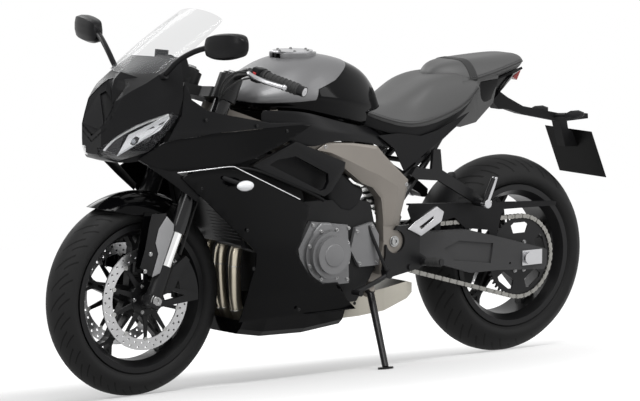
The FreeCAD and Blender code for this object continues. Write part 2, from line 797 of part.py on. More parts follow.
def brake_hose_piece():
    """Front brake hoses, from each caliper up behind the leg to the lower yoke."""
    spread = mm("fork_spread")
    top = mm("lower_yoke") - GAP
    behind = -mm("outer_tube_radius") - 6
    route = [
        in_fork(1312, spread - 20, 426),
        in_fork(1300, spread - 16, 462),
        Vector(behind, spread, 268),
        Vector(behind, spread, top),
    ]
    piece("brake_hoses", both_sides(hose(route, 4)), FORK)


front_wheel_pieces()
fork_pieces()
yoke_pieces()
bar_pieces()
fender_piece()
caliper_pieces()
brake_hose_piece()


def pitch_radius(teeth):
    return mm("chain_pitch") / (2 * math.sin(math.pi / mm(teeth)))


def rear_drive_pieces():
    """Rear brake disc and the toothed sprocket with its carrier."""
    place = REAR_AXLE - Vector(0, mm("rear_disc_place"), 0)
    finish(disc_body("rear_disc", place, size("rear_disc_radius")), "rear_disc", Placement(place, ALONG_Y))
    body = body_of("rear_sprocket")
    pitch = pitch_radius("rear_teeth")
    ring = sketch_in(body, "YZ_Plane", "sprocket_ring")
    circle_in(ring, pitch - 6)
    circle_in(ring, size("rear_axle_radius") + size("hub_clearance"))
    thickness = size("sprocket_thickness")
    pad(body, ring, thickness, "sprocket_plate")
    slot = sketch_in(body, "YZ_Plane", "sprocket_slot")
    outline(slot, [(-26.0, 74.0), (26.0, 74.0), (36.0, 100.0), (24.0, 108.0), (-24.0, 108.0), (-36.0,
                                                                                               100.0)])
    window = pocket(body, slot, "sprocket_window")
    round_array(body, [window], 5, "sprocket_windows")
    tooth = sketch_in(body, "YZ_Plane", "sprocket_tooth")
    outline(tooth, [(-5.0, pitch - 8), (5.0, pitch - 8), (1.6, pitch + 4), (-1.6, pitch + 4)])
    tip = pad(body, tooth, thickness - 1, "sprocket_tip")
    round_array(body, [tip], size("rear_teeth"), "sprocket_tips")
    hub = sketch_in(body, "YZ_Plane", "sprocket_hub")
    circle_in(hub, 58.0)
    circle_in(hub, size("rear_axle_radius") + size("hub_clearance"))
    boss = body.newObject("PartDesign::Pad", "sprocket_boss")
    boss.Profile = hub
    bind(boss, "Length", size("chain_line") - hub_length("rear_disc_place") / 2 - size("seat_gap"))
    boss.Reversed = True
    body.Tip = boss
    finish(body, "rear_sprocket", Placement(REAR_AXLE + Vector(0, mm("chain_line"), 0), ALONG_Y))


def belt(rear, ahead, rear_radius, front_radius, low, high):
    """The loop round two wheels, as a solid between two planes across the machine."""
    span = ahead - rear
    lean = math.atan2(span.z, span.x)
    open_angle = math.acos((rear_radius - front_radius) / span.Length)
    ends = []
    for centre, radius in ((rear, rear_radius), (ahead, front_radius)):
        for turn in (lean + open_angle, lean - open_angle):
            ends.append(centre + Vector(radius * math.cos(turn), 0, radius * math.sin(turn)))
    far = math.pi + lean
    back = rear + Vector(rear_radius * math.cos(far), 0, rear_radius * math.sin(far))
    nose = ahead + Vector(front_radius * math.cos(lean), 0, front_radius * math.sin(lean))
    edges = [
        Part.LineSegment(ends[0], ends[2]),
        Part.Arc(ends[2], nose, ends[3]),
        Part.LineSegment(ends[3], ends[1]),
        Part.Arc(ends[1], back, ends[0]),
    ]
    loop = Part.Face(Part.Wire([edge.toShape() for edge in edges]))
    loop.translate(Vector(0, low, 0))
    return loop.extrude(Vector(0, high - low, 0)), ends


def chain_piece():
    """Drive chain as one fixed loop: side plates all round, rollers along the straight runs."""
    half = mm("plate_height") / 2
    rear = REAR_AXLE
    ahead = chassis(mm("output_ahead"), 0, mm("output_height"))
    big, small = pitch_radius("rear_teeth"), pitch_radius("front_teeth")
    line = mm("chain_line")
    inside = mm("chain_inside") / 2
    outside = inside + mm("plate_thickness")
    made = []
    for low, high in ((line - outside, line - inside), (line + inside, line + outside)):
        outer, _ = belt(rear, ahead, big + half, small + half, low, high)
        inner, _ = belt(rear, ahead, big - half, small - half, low, high)
        made.append(outer.cut(inner))
    _, ends = belt(rear, ahead, big, small, 0, 1)
    for start, end in ((ends[0], ends[2]), (ends[1], ends[3])):
        run = end - start
        count = int(run.Length / mm("chain_pitch")) - 1
        step = run.normalize() * mm("chain_pitch")
        for number in range(4, count + 1):
            here = start + step * number + Vector(0, line, 0)
            wide = Vector(0, inside, 0)
            corners = [Vector(5, 0, 0), Vector(0, 0, 5), Vector(-5, 0, 0), Vector(0, 0, -5)]
            made.append(prism([here - wide + corner for corner in corners], wide * 2))
    wheel = rod(ahead + Vector(0, line - inside, 0), ahead + Vector(0, line + inside, 0), small - half + 1)
    piece("chain", made[0].fuse(made[1:] + [wheel]).removeSplitter())


def swing(x, y, z):
    """A point of the swingarm, carried by the rear axle behind and by its pivot ahead. What
    crosses over in front of the tyre keeps its distance from it."""
    front = mm("rear_radius") + TYRE_ROOM
    drawn = DRAWN_TYRE + TYRE_ROOM
    if x > drawn:
        ahead = front + (x - drawn) * (mm("pivot_ahead") - front) / (DRAWN_PIVOT.x - drawn)
    else:
        ahead = x * front / drawn if x > 40 else x
    share = min(max(x / DRAWN_PIVOT.x, 0), 1)
    rise = (mm("rear_radius") - DRAWN_TYRE) * (1 - share) + (mm("pivot_height") - DRAWN_PIVOT.z) * share
    return Vector(ahead, y, z + rise)


def swing_slab(points, low, high):
    """A side view of the swingarm between y = low and y = high."""
    return prism([swing(x, low, z) for x, z in points], Vector(0, high - low, 0))


def swingarm_piece():
    """Swingarm: two arms, the beam between them, the pivot tube and slots for the axle blocks."""
    low, high = mm("arm_inside"), mm("arm_outside")
    side = [(-82, 333), (-82, 286), (-70, 272), (120, 285), (230, 285), (328, 315), (425, 352)]
    side += [(484, 374), (484, 448), (425, 428), (243, 423), (122, 392), (-70, 340)]
    arm = swing_slab(side, low, high)
    window = box((-60, 22), (low - 1, high + 1), (mm("rear_radius") - 24, mm("rear_radius") + 24))
    recess = swing_slab([(150, 310), (300, 330), (340, 372), (280, 392), (140, 372)], high - 6, high + 4)
    arm = arm.cut(window).cut(recess)
    pivot = swing(557, 0, 414)
    inside = mm("spar_outside") - mm("spar_wall") - GAP
    neck = swing_slab([(440, 372), (557, 392), (557, 436), (440, 436)], low, inside)
    eye = rod(pivot + Vector(0, low, 0), pivot + Vector(0, inside, 0), 30)
    arms = both_sides(join(arm, neck, eye)).Solids
    beam = swing_slab([(345, 352), (425, 352), (470, 385), (470, 418), (425, 414), (345, 394)], -low, low)
    tube_across = rod(pivot - Vector(0, low, 0), pivot + Vector(0, low, 0), 19)
    link_view = [(440, 388), (557, 398), (557, 430), (440, 418)]
    links = [swing_slab(link_view, -low, -40), swing_slab(link_view, 40, 94)]
    whole = join(arms[0], arms[1], beam, tube_across, *links)
    whole = whole.cut(rod(pivot - Vector(0, 200, 0), pivot + Vector(0, 200, 0), 10 + GAP))
    for side in (-1, 1):
        mouth = Vector(70, side * high, mm("rear_radius") - 12)
        depth = Vector(0, -side * mm("bobbin_depth"), 0)
        whole = whole.cut(rod(mouth, mouth + depth, mm("bobbin_radius")))
    piece("swingarm", whole)


def rear_axle_piece():
    """Rear spindle with the blocks that slide in the swingarm's slots."""
    reach = mm("arm_outside") + 5
    low, high = mm("arm_inside"), mm("arm_outside") + 3
    spindle = rod(REAR_AXLE - Vector(0, reach, 0), REAR_AXLE + Vector(0, reach + 4, 0),
                  mm("rear_axle_radius"))
    blocks = []
    for side in (-1, 1):
        y = (low, high) if side > 0 else (-high, -low)
        z = (mm("rear_radius") - 24 + GAP, mm("rear_radius") + 24 - GAP)
        blocks.append(box((-60 + GAP, 22 - GAP), y, z))
    nut = rod(REAR_AXLE + Vector(0, high - 1, 0), REAR_AXLE + Vector(0, high + 12, 0), 19)
    piece("rear_axle", join(spindle, *blocks, nut))


AXIS_RISE = 29.4
STAND_AXIS = Vector(0, math.cos(math.radians(AXIS_RISE)), math.sin(math.radians(AXIS_RISE)))


def stand_mount():
    """Bracket and headed pin that carry the side stand, below the left pivot plate."""
    pivot = chassis(mm("stand_ahead"), mm("stand_left"), mm("stand_height"))
    bracket = rod(pivot - STAND_AXIS * 16, pivot, 16)
    pin = rod(pivot - STAND_AXIS * 2, pivot + STAND_AXIS * 19, mm("stand_pin"))
    head = rod(pivot + STAND_AXIS * (14 + GAP), pivot + STAND_AXIS * 19, 12)
    inside = mm("spar_outside") - mm("spar_wall")
    view = [(562, 318), (604, 340), (636, 276), (634, 254), (614, 252), (606, 288), (575, 302)]
    web = slab(view, mm("stand_left") - 14, inside + 1)
    return join(bracket, pin, head, web.cut(rod(pivot, pivot + STAND_AXIS * 40, 22)))


def tank_posts(grow=0.0):
    """Posts on the frame that carry the tank: two in front and one behind."""
    posts = []
    for x, y, low, high, radius in ((990, 121, 800, 844, 12), (990, -121, 800, 844, 12), (604, 0, 680,
                                                                                          768, 14)):
        posts.append(rod(chassis(x, y, low), chassis(x, y, high + grow), radius + grow))
    return posts


def frame_piece():
    """Frame: steering head, two spars that bow out round the engine, and the pivot plates."""
    outside = mm("spar_outside")
    inside = outside - mm("spar_wall")
    side = [(857, 718), (827, 739), (720, 730), (626, 715), (595, 683), (503, 602), (508, 570)]
    side += [(530, 500), (543, 445), (541, 400), (559, 304), (610, 315), (612, 360), (598, 416)]
    side += [(600, 480), (608, 551), (642, 587), (684, 604), (751, 655)]
    rear = slab(side, inside, outside)
    pivot = chassis(557, 0, 414)
    cap = rod(pivot + Vector(0, inside, 0), pivot + Vector(0, outside, 0), mm("pivot_radius"))
    root = [chassis(x, y, z) for x, y, z in ((830, inside, 738), (830, outside, 738),
                                             (800, outside, 688), (800, inside, 688))]
    middle = [chassis(x, y, z) for x, y, z in ((985, 108, 822), (985, 134, 822),
                                               (985, 134, 748), (985, 108, 748))]
    head = [chassis(x, y, z) for x, y, z in ((1118, 18, 868), (1112, 46, 868),
                                             (1140, 46, 760), (1146, 18, 760))]
    spar = loft([root, middle, head], ruled=True)
    left = join(rear, cap, spar)
    arms = both_sides(left).Solids
    low = Vector(STEER_X, 0, mm("lower_yoke") + mm("yoke_height") + mm("head_clearance"))
    high = Vector(STEER_X, 0, mm("upper_yoke") - mm("head_clearance"))
    low, high = FORK.multVec(low), FORK.multVec(high)
    head_tube = rod(low, high, mm("head_radius"))
    upper = slab([(575, 690), (625, 705), (640, 660), (610, 620), (570, 640)], -inside, inside)
    lower = slab([(562, 304), (606, 312), (606, 332), (562, 326)], -inside, inside)
    up = (high - low).normalize()
    sweep = rod(high, high + up * 200, 170).fuse(rod(low - up * 120, low, 170))
    arms = [max(arm.cut(sweep).Solids, key=lambda solid: solid.Volume) for arm in arms]
    whole = join(arms[0], arms[1], head_tube, upper, lower, stand_mount(), *tank_posts())
    whole = whole.cut(rod(low, high, mm("stem_radius") + GAP))
    shaft = rod(pivot - Vector(0, outside - 4, 0), pivot + Vector(0, outside - 4, 0), 10)
    piece("frame", join(whole, shaft))


def engine_pieces():
    """Engine as one plain block, with the covers that show on its sides."""
    half = mm("case_half_width")
    case = [(612, 345), (692, 238), (985, 232), (1030, 285), (1042, 380), (1040, 440), (985, 560)]
    case += [(860, 560), (700, 556), (640, 540), (622, 470)]
    block = slab(case, -half, half)
    barrel = slab([(870, 555), (1040, 430), (1096, 590), (1070, 700), (905, 690)], -118, 118)
    block = join(block, barrel)
    block = block.cut(PARTS["frame"].Shape.transformed(LEAN.inverse().toMatrix()))
    swing = slab([(600, 200), (652, 200), (652, 600), (600, 600)], 90, 127)
    block = block.cut(swing)
    ahead = chassis(mm("output_ahead"), 0, mm("output_height"))
    drive = rod(ahead + Vector(0, 88, 0), ahead + Vector(0, half + 1, 0), 56)
    drive = join(drive, slab([(590, 330), (640, 345), (640, 465), (590, 470)], 88, half + 1))
    block = block.cut(drive)
    block = max(block.Solids, key=lambda s: s.Volume)
    piece("engine", block)
    crank = chassis(mm("crank_ahead"), 0, mm("crank_height"))
    radius = mm("cover_radius")
    base = crank + Vector(0, half + GAP, 0)
    across = Vector(0, 1, 0)
    steps = ((0, 26, radius + 14), (26, 42, radius), (42, 54, radius - 14))
    rings = [rod(base + across * a, base + across * b, r) for a, b, r in steps]
    wide = slab([(735, 300), (905, 300), (930, 420), (880, 500), (740, 480)], half + GAP, half + 18)
    left = join(*rings, wide)
    output = slab([(612, 345), (690, 345), (724, 400), (705, 468), (640, 480), (614, 440)], half + GAP,
                  half + 12)
    right = join(rod(base, base + across * 38, radius + 8),
                 rod(base + across * 38, base + across * 48, radius - 8), wide)
    right = right.mirror(Vector(), Vector(0, 1, 0))
    piece("engine_covers", Part.makeCompound(join(left, output).Solids + right.Solids))


def cooling_pieces():
    """Radiator in front of the engine and the exhaust headers below it."""
    core = [(1099, 452), (1129, 446), (1177, 636), (1147, 644)]
    core = slab(core, -150, 150)
    tank_view = [(1093, 448), (1132, 439), (1181, 640), (1142, 650)]
    caps = [slab(tank_view, a, b) for a, b in ((150, 172), (-172, -150))]
    stays = [rod(chassis(1150, y, 560), chassis(1075, y, 560), 8) for y in (-90, 90)]
    radiator = join(core, *caps, *stays)
    engine = PARTS["engine"].Shape.transformed(LEAN.inverse().toMatrix())
    piece("radiator", radiator.cut(engine))
    pipes = []
    for y in (-74, 0, 74):
        route = [(1020, y, 470), (1078, y, 440), (1100, y, 330), (1080, y * 0.9, 215), (980, y * 0.6, 192),
                 (860, y * 0.42, 190)]
        pipes.append(hose([chassis(*point) for point in route], 19))
    collector = loft([
        [chassis(862, y, z) for y, z in ((-52, 168), (52, 168), (52, 214), (-52, 214))],
        [chassis(790, y, z) for y, z in ((-34, 170), (34, 170), (34, 212), (-34, 212))],
        [chassis(700, y, z) for y, z in ((-34, 176), (34, 176), (34, 216), (-34, 216))],
    ], ruled=True)
    header = join(*pipes, collector).cut(engine)
    header = max(header.Solids, key=lambda s: s.Volume)
    piece("headers", header)
    rows = ((700, -78, 90, 178, 228), (640, -118, 96, 180, 246), (540, -128, 96, 188, 258),
            (440, -126, 84, 216, 270), (412, -120, 74, 232, 262))
    box_of = [[chassis(x, y, z) for y, z in ((a, c), (b, c), (b, d), (a, d))] for x, a, b, c, d in rows]
    muffler = loft(box_of, ruled=True)
    muffler = muffler.cut(PARTS["headers"].Shape.transformed(LEAN.inverse().toMatrix()))
    stub = [rod(chassis(520, -118, z), chassis(430, -168, z - 4), 17) for z in (246, 212)]
    piece("silencer", join(muffler, *stub))


def side_stand_pieces():
    """Side stand: a leg on a slanted pin, deployed, with its foot flat on the ground."""
    pivot = chassis(mm("stand_ahead"), mm("stand_left"), mm("stand_height"))
    slope = math.tan(math.radians(mm("lean_angle")))
    ground = Vector(mm("foot_ahead"), mm("foot_left"), mm("foot_left") * slope)
    ground_up = Vector(0, -math.sin(math.radians(mm("lean_angle"))),
                       math.cos(math.radians(mm("lean_angle"))))
    axis = STAND_AXIS
    pad_top = ground + ground_up * mm("foot_wall")
    pad = rod(ground, pad_top, mm("foot_radius"))
    eye_low, eye_high = pivot + axis * GAP, pivot + axis * 14
    eye = rod(eye_low, eye_high, 16)
    middle = pivot + axis * 7
    leg = cone(middle, pad_top - ground_up * 2, mm("stand_radius") + 1, mm("stand_radius") - 1)
    stand = join(eye, leg, pad).cut(rod(pivot - axis, pivot + axis * 30, mm("stand_pin") + GAP))
    stand = stand.cut(rod(pivot - axis * 30, eye_low, 22)).cut(rod(eye_high, pivot + axis * 40, 18))
    piece("side_stand", max(stand.Solids, key=lambda solid: solid.Volume))


rear_drive_pieces()
chain_piece()
swingarm_piece()
rear_axle_piece()
frame_piece()
engine_pieces()
cooling_pieces()
side_stand_pieces()


def working(label):
    """A finished piece's shape, back in the upright working frame."""
    return PARTS[label].Shape.transformed(LEAN.inverse().toMatrix())


def half_section(x, rows, grow=0.0):
    """A closed section at one station from (y, z) points of its left half, top to bottom."""
    left = [(y + (grow if y else 0), z) for y, z in rows]
    right = [(-y, z) for y, z in reversed(left) if y]
    return [chassis(x, y, z) for y, z in left + right]


TANK_STATIONS = (
    # ahead, top, shoulder out, widest out, widest up, foot out, foot up
    (1056, 902, 70, 92, 872, 84, 838),
    (1010, 934, 88, 124, 884, 112, 836),
    (950, 968, 104, 150, 888, 138, 832),
    (880, 992, 116, 164, 884, 150, 822),
    (800, 999, 118, 164, 872, 146, 800),
    (720, 990, 110, 154, 856, 138, 780),
    (640, 966, 92, 132, 838, 118, 762),
    (580, 932, 70, 104, 826, 92, 752),
    (528, 866, 40, 66, 806, 58, 752),
)


def tank_form(grow=0.0):
    """The fuel tank's outside, with its widest line, knee recess and flat foot."""
    sections = []
    for x, top, shoulder, wide, level, foot, bottom in TANK_STATIONS:
        rise = top + grow
        rows = [(0, rise), (shoulder * 0.55, rise - 4), (shoulder, rise - 0.2 * (top - level)),
                (wide + grow, level), ((wide + foot) / 2 + grow, (level + bottom) / 2), (foot + grow,
                                                                                         bottom - grow)]
        left = rows
        right = [(-y, z) for y, z in reversed(rows) if y]
        over = [chassis(x, y, z) for y, z in list(reversed(left)) + list(reversed(right))]
        sections.append(rounded(over, 19))
    return loft(sections, ruled=True)


def tank_pieces():
    """Tank in two finishes that meet on a crease, filler ring and the hinged lid."""
    whole = tank_form()
    cover_view = [(1100, 1100), (1100, 872), (1040, 866), (913, 867), (862, 870), (846, 902),
                  (768, 924), (690, 962), (640, 1000), (600, 1100)]
    over = slab(cover_view, -300, 300)
    under = slab([(x, z - GAP) for x, z in cover_view], -300, 300)
    centre = chassis(828, 0, 1000)
    flat = Vector(0, 0, 1)
    ring = rod(centre - flat * 30, centre, mm("filler_radius") + 12)
    neck = rod(centre - flat * mm("filler_depth"), centre + flat, mm("filler_bore"))
    cover = join(whole.common(over), ring.common(tank_form(6))).cut(neck)
    trim = box((centre.x - 90, centre.x + 90), (-90, 90), (centre.z, centre.z + 30))
    piece("tank_cover", cover.cut(trim))
    base = whole.cut(under).cut(ring.fuse(neck))
    for post in tank_posts(GAP):
        base = base.cut(post)
    piece("tank", seated(base, working("frame"), Vector(0, 0, 2 * GAP)))
    lid = rod(centre + flat * GAP, centre + flat * 8, mm("filler_radius"))
    hinge = centre + Vector(mm("filler_radius") + 3, 0, 5)
    barrel = rod(hinge - Vector(0, 16, 0), hinge + Vector(0, 16, 0), 4)
    tongue = box((hinge.x - 12, hinge.x), (-12, 12), (hinge.z - 3, hinge.z + 3))
    piece("filler_lid", join(lid, tongue, barrel))


SEAT_STATIONS = (
    # ahead, middle top, side crease out, side crease up, bottom
    (652, 846, 128, 822, 812),
    (600, 842, 136, 806, 784),
    (540, 838, 140, 790, 762),
    (480, 820, 142, 772, 746),
    (420, 812, 143, 768, 738),
    (360, 820, 140, 778, 752),
    (300, 842, 132, 798, 776),
    (240, 862, 118, 820, 802),
)
PILLION_STATIONS = (
    # ahead, middle top, side crease out, side crease up, bottom
    (372, 896, 62, 880, 858),
    (340, 918, 82, 896, 858),
    (280, 937, 96, 900, 868),
    (200, 946, 104, 908, 874),
    (100, 953, 104, 918, 882),
    (20, 957, 94, 926, 896),
    (-44, 957, 74, 932, 908),
)


def pad_form(stations, grow=0.0):
    """A seat pad's outside: crowned top, crease along the side, tucked-in foot."""
    sections = []
    for x, top, out, crease, bottom in stations:
        x += grow if x == stations[0][0] else 0
        x -= grow if x == stations[-1][0] else 0
        rise = top + grow
        rows = [(0, rise), (out * 0.45, rise - 3), (out * 0.82, (rise * 2 + crease) / 3), (out + grow,
                                                                                           crease),
                (out - 8 + grow, (crease + bottom) / 2), (out - 22 + grow, bottom - grow)]
        right = [(-y, z) for y, z in reversed(rows) if y]
        over = [chassis(x, y, z) for y, z in list(reversed(rows)) + list(reversed(right))]
        sections.append(rounded(over, 15))
    return loft(sections, ruled=True)


def seat_pieces():
    """Rider's seat round the back of the tank, and the stepped pillion pad."""
    pillion = pad_form(PILLION_STATIONS)
    piece("pillion_seat", pillion)
    rider = pad_form(SEAT_STATIONS).cut(tank_form(3 * GAP)).cut(pad_form(PILLION_STATIONS, 2 * GAP))
    piece("rider_seat", max(rider.Solids, key=lambda s: s.Volume))


TAIL_STATIONS = (
    # ahead, upper edge out, upper edge up, lower edge out, lower edge up
    (330, 104, 880, 96, 756),
    (240, 107, 886, 94, 742),
    (170, 105, 889, 86, 752),
    (90, 100, 895, 74, 808),
    (20, 90, 907, 62, 858),
    (-36, 70, 918, 50, 893),
)


def tail_pieces():
    """Tail under the pillion pad, its lamp, and the covers below the rider's seat."""
    sections = []
    for x, wide, high, narrow, low in TAIL_STATIONS:
        rows = [(0, high), (wide - 8, high), (wide, high - 10), (narrow, low + 6), (narrow - 12, low),
                (0, low)]
        sections.append(half_section(x, rows))
    tail = loft(sections, ruled=True)
    wall = mm("panel_wall")
    inner = []
    for x, wide, high, narrow, low in TAIL_STATIONS[:-2]:
        rows = [(0, high - wall), (wide - 12, high - wall), (wide - wall, high - 13), (narrow - wall,
                                                                                       low + 6)]
        rows += [(narrow - wall - 10, low - 30), (0, low - 30)]
        inner.append(half_section(x + (20 if x > 300 else 0) - (6 if x < 100 else 0), rows))
    tail = tail.cut(loft(inner, ruled=True)).cut(rails(mm("tube_radius") + GAP))
    tail = tail.cut(pad_form(PILLION_STATIONS, 2 * GAP)).cut(pad_form(SEAT_STATIONS, 2 * GAP))
    tail = max(tail.Solids, key=lambda s: s.Volume)
    lamp = [chassis(x, y, z) for x, y, z in ((-24, -56, 872), (-24, 56, 872), (-46, 50, 904), (-46, -50,
                                                                                               904))]
    lamp = prism(lamp, Vector(16, 0, 10))
    lamp = lamp.cut(pad_form(PILLION_STATIONS, 2 * GAP))
    piece("tail_cowl", tail)
    piece("tail_light", seated(lamp, tail, Vector(-GAP, 0, 0)))
    view = [(598, 742), (536, 700), (494, 625), (300, 742), (236, 792), (300, 768), (360, 744), (427,
                                                                                                 730),
                                                                                                 (515, 744)]
    inside = mm("spar_outside") - mm("spar_wall")
    cover = slab(view, inside + 3, inside + 3 + mm("panel_wall"))
    tab = slab([(468, 700), (432, 700), (422, 650), (446, 642)], inside - 26, inside + 4)
    cover = join(cover, tab).cut(rails(mm("tube_radius") + GAP))
    piece("side_covers", both_sides(max(cover.Solids, key=lambda solid: solid.Volume)))


def rails(radius):
    """Seat rails: two bent tubes each side, from the spar to the tail, tied across."""
    place = mm("spar_outside") - mm("spar_wall") - mm("tube_radius") - GAP
    upper = [(560, place, 560), (430, place, 646), (290, 80, 728), (74, 50, 835)]
    lower = [(552, place, 470), (470, place, 560), (380, 98, 640), (310, 82, 712)]
    made = []
    for side in (1, -1):
        for route in (upper, lower):
            made.append(hose([chassis(x, side * y, z) for x, y, z in route], radius, 40))
    for x, y, z in (upper[1], (180, 63, 782)):
        made.append(rod(chassis(x, -y, z), chassis(x, y, z), radius - 2))
    return join(*made)


def nose_form(shrink=0.0):
    """The nose's outside: flat front, brow over the lamps, screen base above."""
    sections = []
    for x, rows in NOSE_STATIONS:
        middle = 0.5 * (rows[0][1] + rows[-1][1])
        moved = []
        for y, z in rows:
            drop = shrink if z > middle else -shrink
            moved.append((max(y - shrink, 0), z - drop))
        back = -shrink if x > 1500 else shrink
        sections.append(half_section(x + back, moved))
    return loft(sections, ruled=True)


NOSE_STATIONS = (
    # ahead, then outline points (out, up) from the top to the bottom
    (1574, ((0, 864), (40, 866), (50, 826), (50, 780), (48, 756), (40, 742), (0, 738))),
    (1540, ((0, 908), (68, 894), (80, 840), (76, 797), (78, 730), (70, 716), (0, 714))),
    (1492, ((0, 956), (98, 934), (112, 856), (114, 833), (112, 737), (102, 716), (0, 708))),
    (1457, ((0, 972), (112, 948), (128, 872), (130, 846), (132, 752), (122, 728), (0, 712))),
    (1400, ((0, 996), (120, 984), (149, 900), (152, 862), (155, 808), (146, 786), (0, 776))),
    (1340, ((0, 1016), (127, 1010), (160, 926), (168, 866), (170, 812), (160, 796), (0, 790))),
)
LAMP_VIEW = ((1580, 752), (1563, 776), (1491, 833), (1394, 865), (1364, 853), (1389, 819), (1457, 751),
             (1532, 722), (1580, 738))


LAMP_DEPTH = 16


def nose_pieces():
    """Nose cowl round the lamps and the intake, and the lamps' clear covers and bowls."""
    wall = mm("panel_wall")
    outer = nose_form()
    shell = outer.cut(nose_form(wall))
    legs = mm("fork_spread") + mm("outer_tube_radius") + 22
    axis = FORK.multVec(Vector(STEER_X, 0, 300)), FORK.multVec(Vector(STEER_X, 0, 900))
    sweep = rod(axis[0], axis[1], legs)
    shell = shell.cut(sweep)
    rear = slab([(1300, 1100), (1336, 1020), (1349, 940), (1356, 900), (1374, 852), (1397, 818), (1440, 770),
                 (1440, 700), (1300, 700)], -300, 300)
    shell = shell.cut(rear)
    lamp = slab(LAMP_VIEW, 30, 300)
    lamps = both_sides(lamp)
    intake = [Vector(1500, y, z) for y, z in ((0, 806), (34, 880), (14, 900), (-14, 900), (-34, 880))]
    intake = prism([chassis(*point) for point in intake], Vector(120, 0, 0))
    covers = shell.common(lamps)
    shell = shell.cut(lamps).cut(intake)
    piece("nose_cowl", max(shell.Solids, key=lambda s: s.Volume))
    kept = sorted(covers.Solids, key=lambda s: -s.Volume)[:2]
    piece("headlights", Part.makeCompound(kept))
    deep = nose_form(LAMP_DEPTH).common(lamp).common(nose_form(wall + 5 * GAP))
    behind = nose_form(LAMP_DEPTH).common(slab(LAMP_VIEW, 0, 300))
    behind.translate(Vector(-24, -24, 0))
    bowl = max(deep.cut(behind).Solids, key=lambda s: s.Volume)
    piece("lamp_bowls", both_sides(bowl))


def screen_piece():
    """Windscreen: a bubble through arcs from its base to its top edge."""
    rows = (((1411, 116, 982), (1470, 0, 976)), ((1326, 124, 1020), (1386, 0, 1046)),
            ((1250, 124, 1072), (1284, 0, 1110)), ((1176, 118, 1122), (1196, 0, 1152)))
    wall = mm("screen_wall")
    slope = Vector(0.52, 0, 0.85)
    sections = []
    for side, middle in rows:
        left, right = chassis(*side), chassis(side[0], -side[1], side[2])
        crest = chassis(*middle)
        rise = (crest - (left + right) / 2).normalize()
        inward = rise * (-wall / rise.dot(slope))
        arc = Part.Arc(left, crest, right).toShape().discretize(Number=11)
        sections.append(arc + [point + inward for point in reversed(arc)])
    glass = loft(sections, ruled=True).cut(nose_form(-GAP))
    piece("windscreen", max(glass.Solids, key=lambda s: s.Volume))


def fairing_pieces():
    """Side fairings, in three creased panels a side, and the belly pan."""
    wall = mm("panel_wall")
    upper_rows = (
        ((1430, 126, 990), (1342, 151, 940), (1241, 186, 890), (1068, 210, 850), (880, 205, 840)),
        ((1430, 150, 815), (1342, 176, 806), (1241, 200, 800), (1068, 215, 806), (880, 213, 812)),
        ((1430, 150, 775), (1342, 170, 775), (1241, 196, 775), (1068, 210, 775), (880, 208, 780)),
    )
    upper_view = [(1332, 1018), (1345, 940), (1352, 900), (1361, 856), (1362, 852), (1387, 817), (1407,
                                                                                                  780.6),
                  (1243, 799), (909, 808), (980, 813), (1068, 818), (1241, 854), (1281, 866),
                  (1326, 899), (1335, 940), (1320, 1016)]
    upper = panel(upper_rows, upper_view, wall)
    label_rows = (
        ((1520, 106, 745), (1409, 155, 782), (1243, 200, 800), (1080, 211, 805), (880, 213, 810)),
        ((1520, 110, 700), (1381, 161, 684), (1204, 208, 699), (1095, 220, 720), (880, 222, 760)),
    )
    label_view = [(1491, 728), (1408, 779.5), (1243, 797.5), (909, 806), (983, 769), (1126, 717),
                  (1204, 699), (1381, 684), (1460, 708)]
    label = panel(label_rows, label_view, wall)
    side_rows = (
        ((1420, 152, 686), (1204, 208, 697), (1080, 212, 650), (930, 204, 600), (760, 190, 600), (620,
                                                                                                  178, 600)),
        ((1420, 150, 470), (1200, 196, 452), (1080, 206, 440), (930, 200, 425), (760, 188, 420), (620,
                                                                                                  172, 420)),
        ((1420, 140, 320), (1200, 176, 300), (1080, 188, 300), (930, 182, 300), (760, 170, 295), (620,
                                                                                                  160, 290)),
        ((1420, 120, 222), (1200, 152, 214), (1080, 160, 212), (930, 158, 212), (760, 150, 212), (620,
                                                                                                  142, 210)),
    )
    side_view = [(1380, 683), (1293, 600), (1140, 454), (1112, 426), (1110, 391), (1126, 330), (1132, 298),
                 (1138, 238), (1144, 214), (729, 214), (690, 214), (729, 244), (782, 307), (841, 307),
                 (909, 350), (959, 414), (908, 550), (953, 577), (1191, 688), (1204, 697.5)]
    side = panel(side_rows, side_view, wall)
    piece("upper_fairings", both_sides(join(upper, label)))
    piece("side_fairings", both_sides(side))
    sections, inner = [], []
    stations = ((1124, 150, 122, 172), (1040, 158, 128, 158), (880, 156, 126, 154), (735, 150, 126, 168))
    for x, top, edge, low in stations:
        rows = [(0, 213.7), (top, 213.7), (edge + 10, low + 16), (edge - 8, low), (0, low - 2)]
        sections.append(half_section(x, rows))
        rows = [(0, 260), (top - wall, 260), (top - wall, 213), (edge + 10 - wall, low + 16)]
        rows += [(edge - 10, low + wall), (0, low - 2 + wall)]
        shift = 0 if x < 1100 else -wall
        shift = -6 if x < 760 else shift
        inner.append(half_section(x + shift, rows))
    belly = loft(sections, ruled=True).cut(loft(inner, ruled=True))
    exhaust = working("headers").fuse(working("silencer"))
    belly = belly.cut(exhaust)
    piece("belly_pan", max(belly.Solids, key=lambda s: s.Volume))


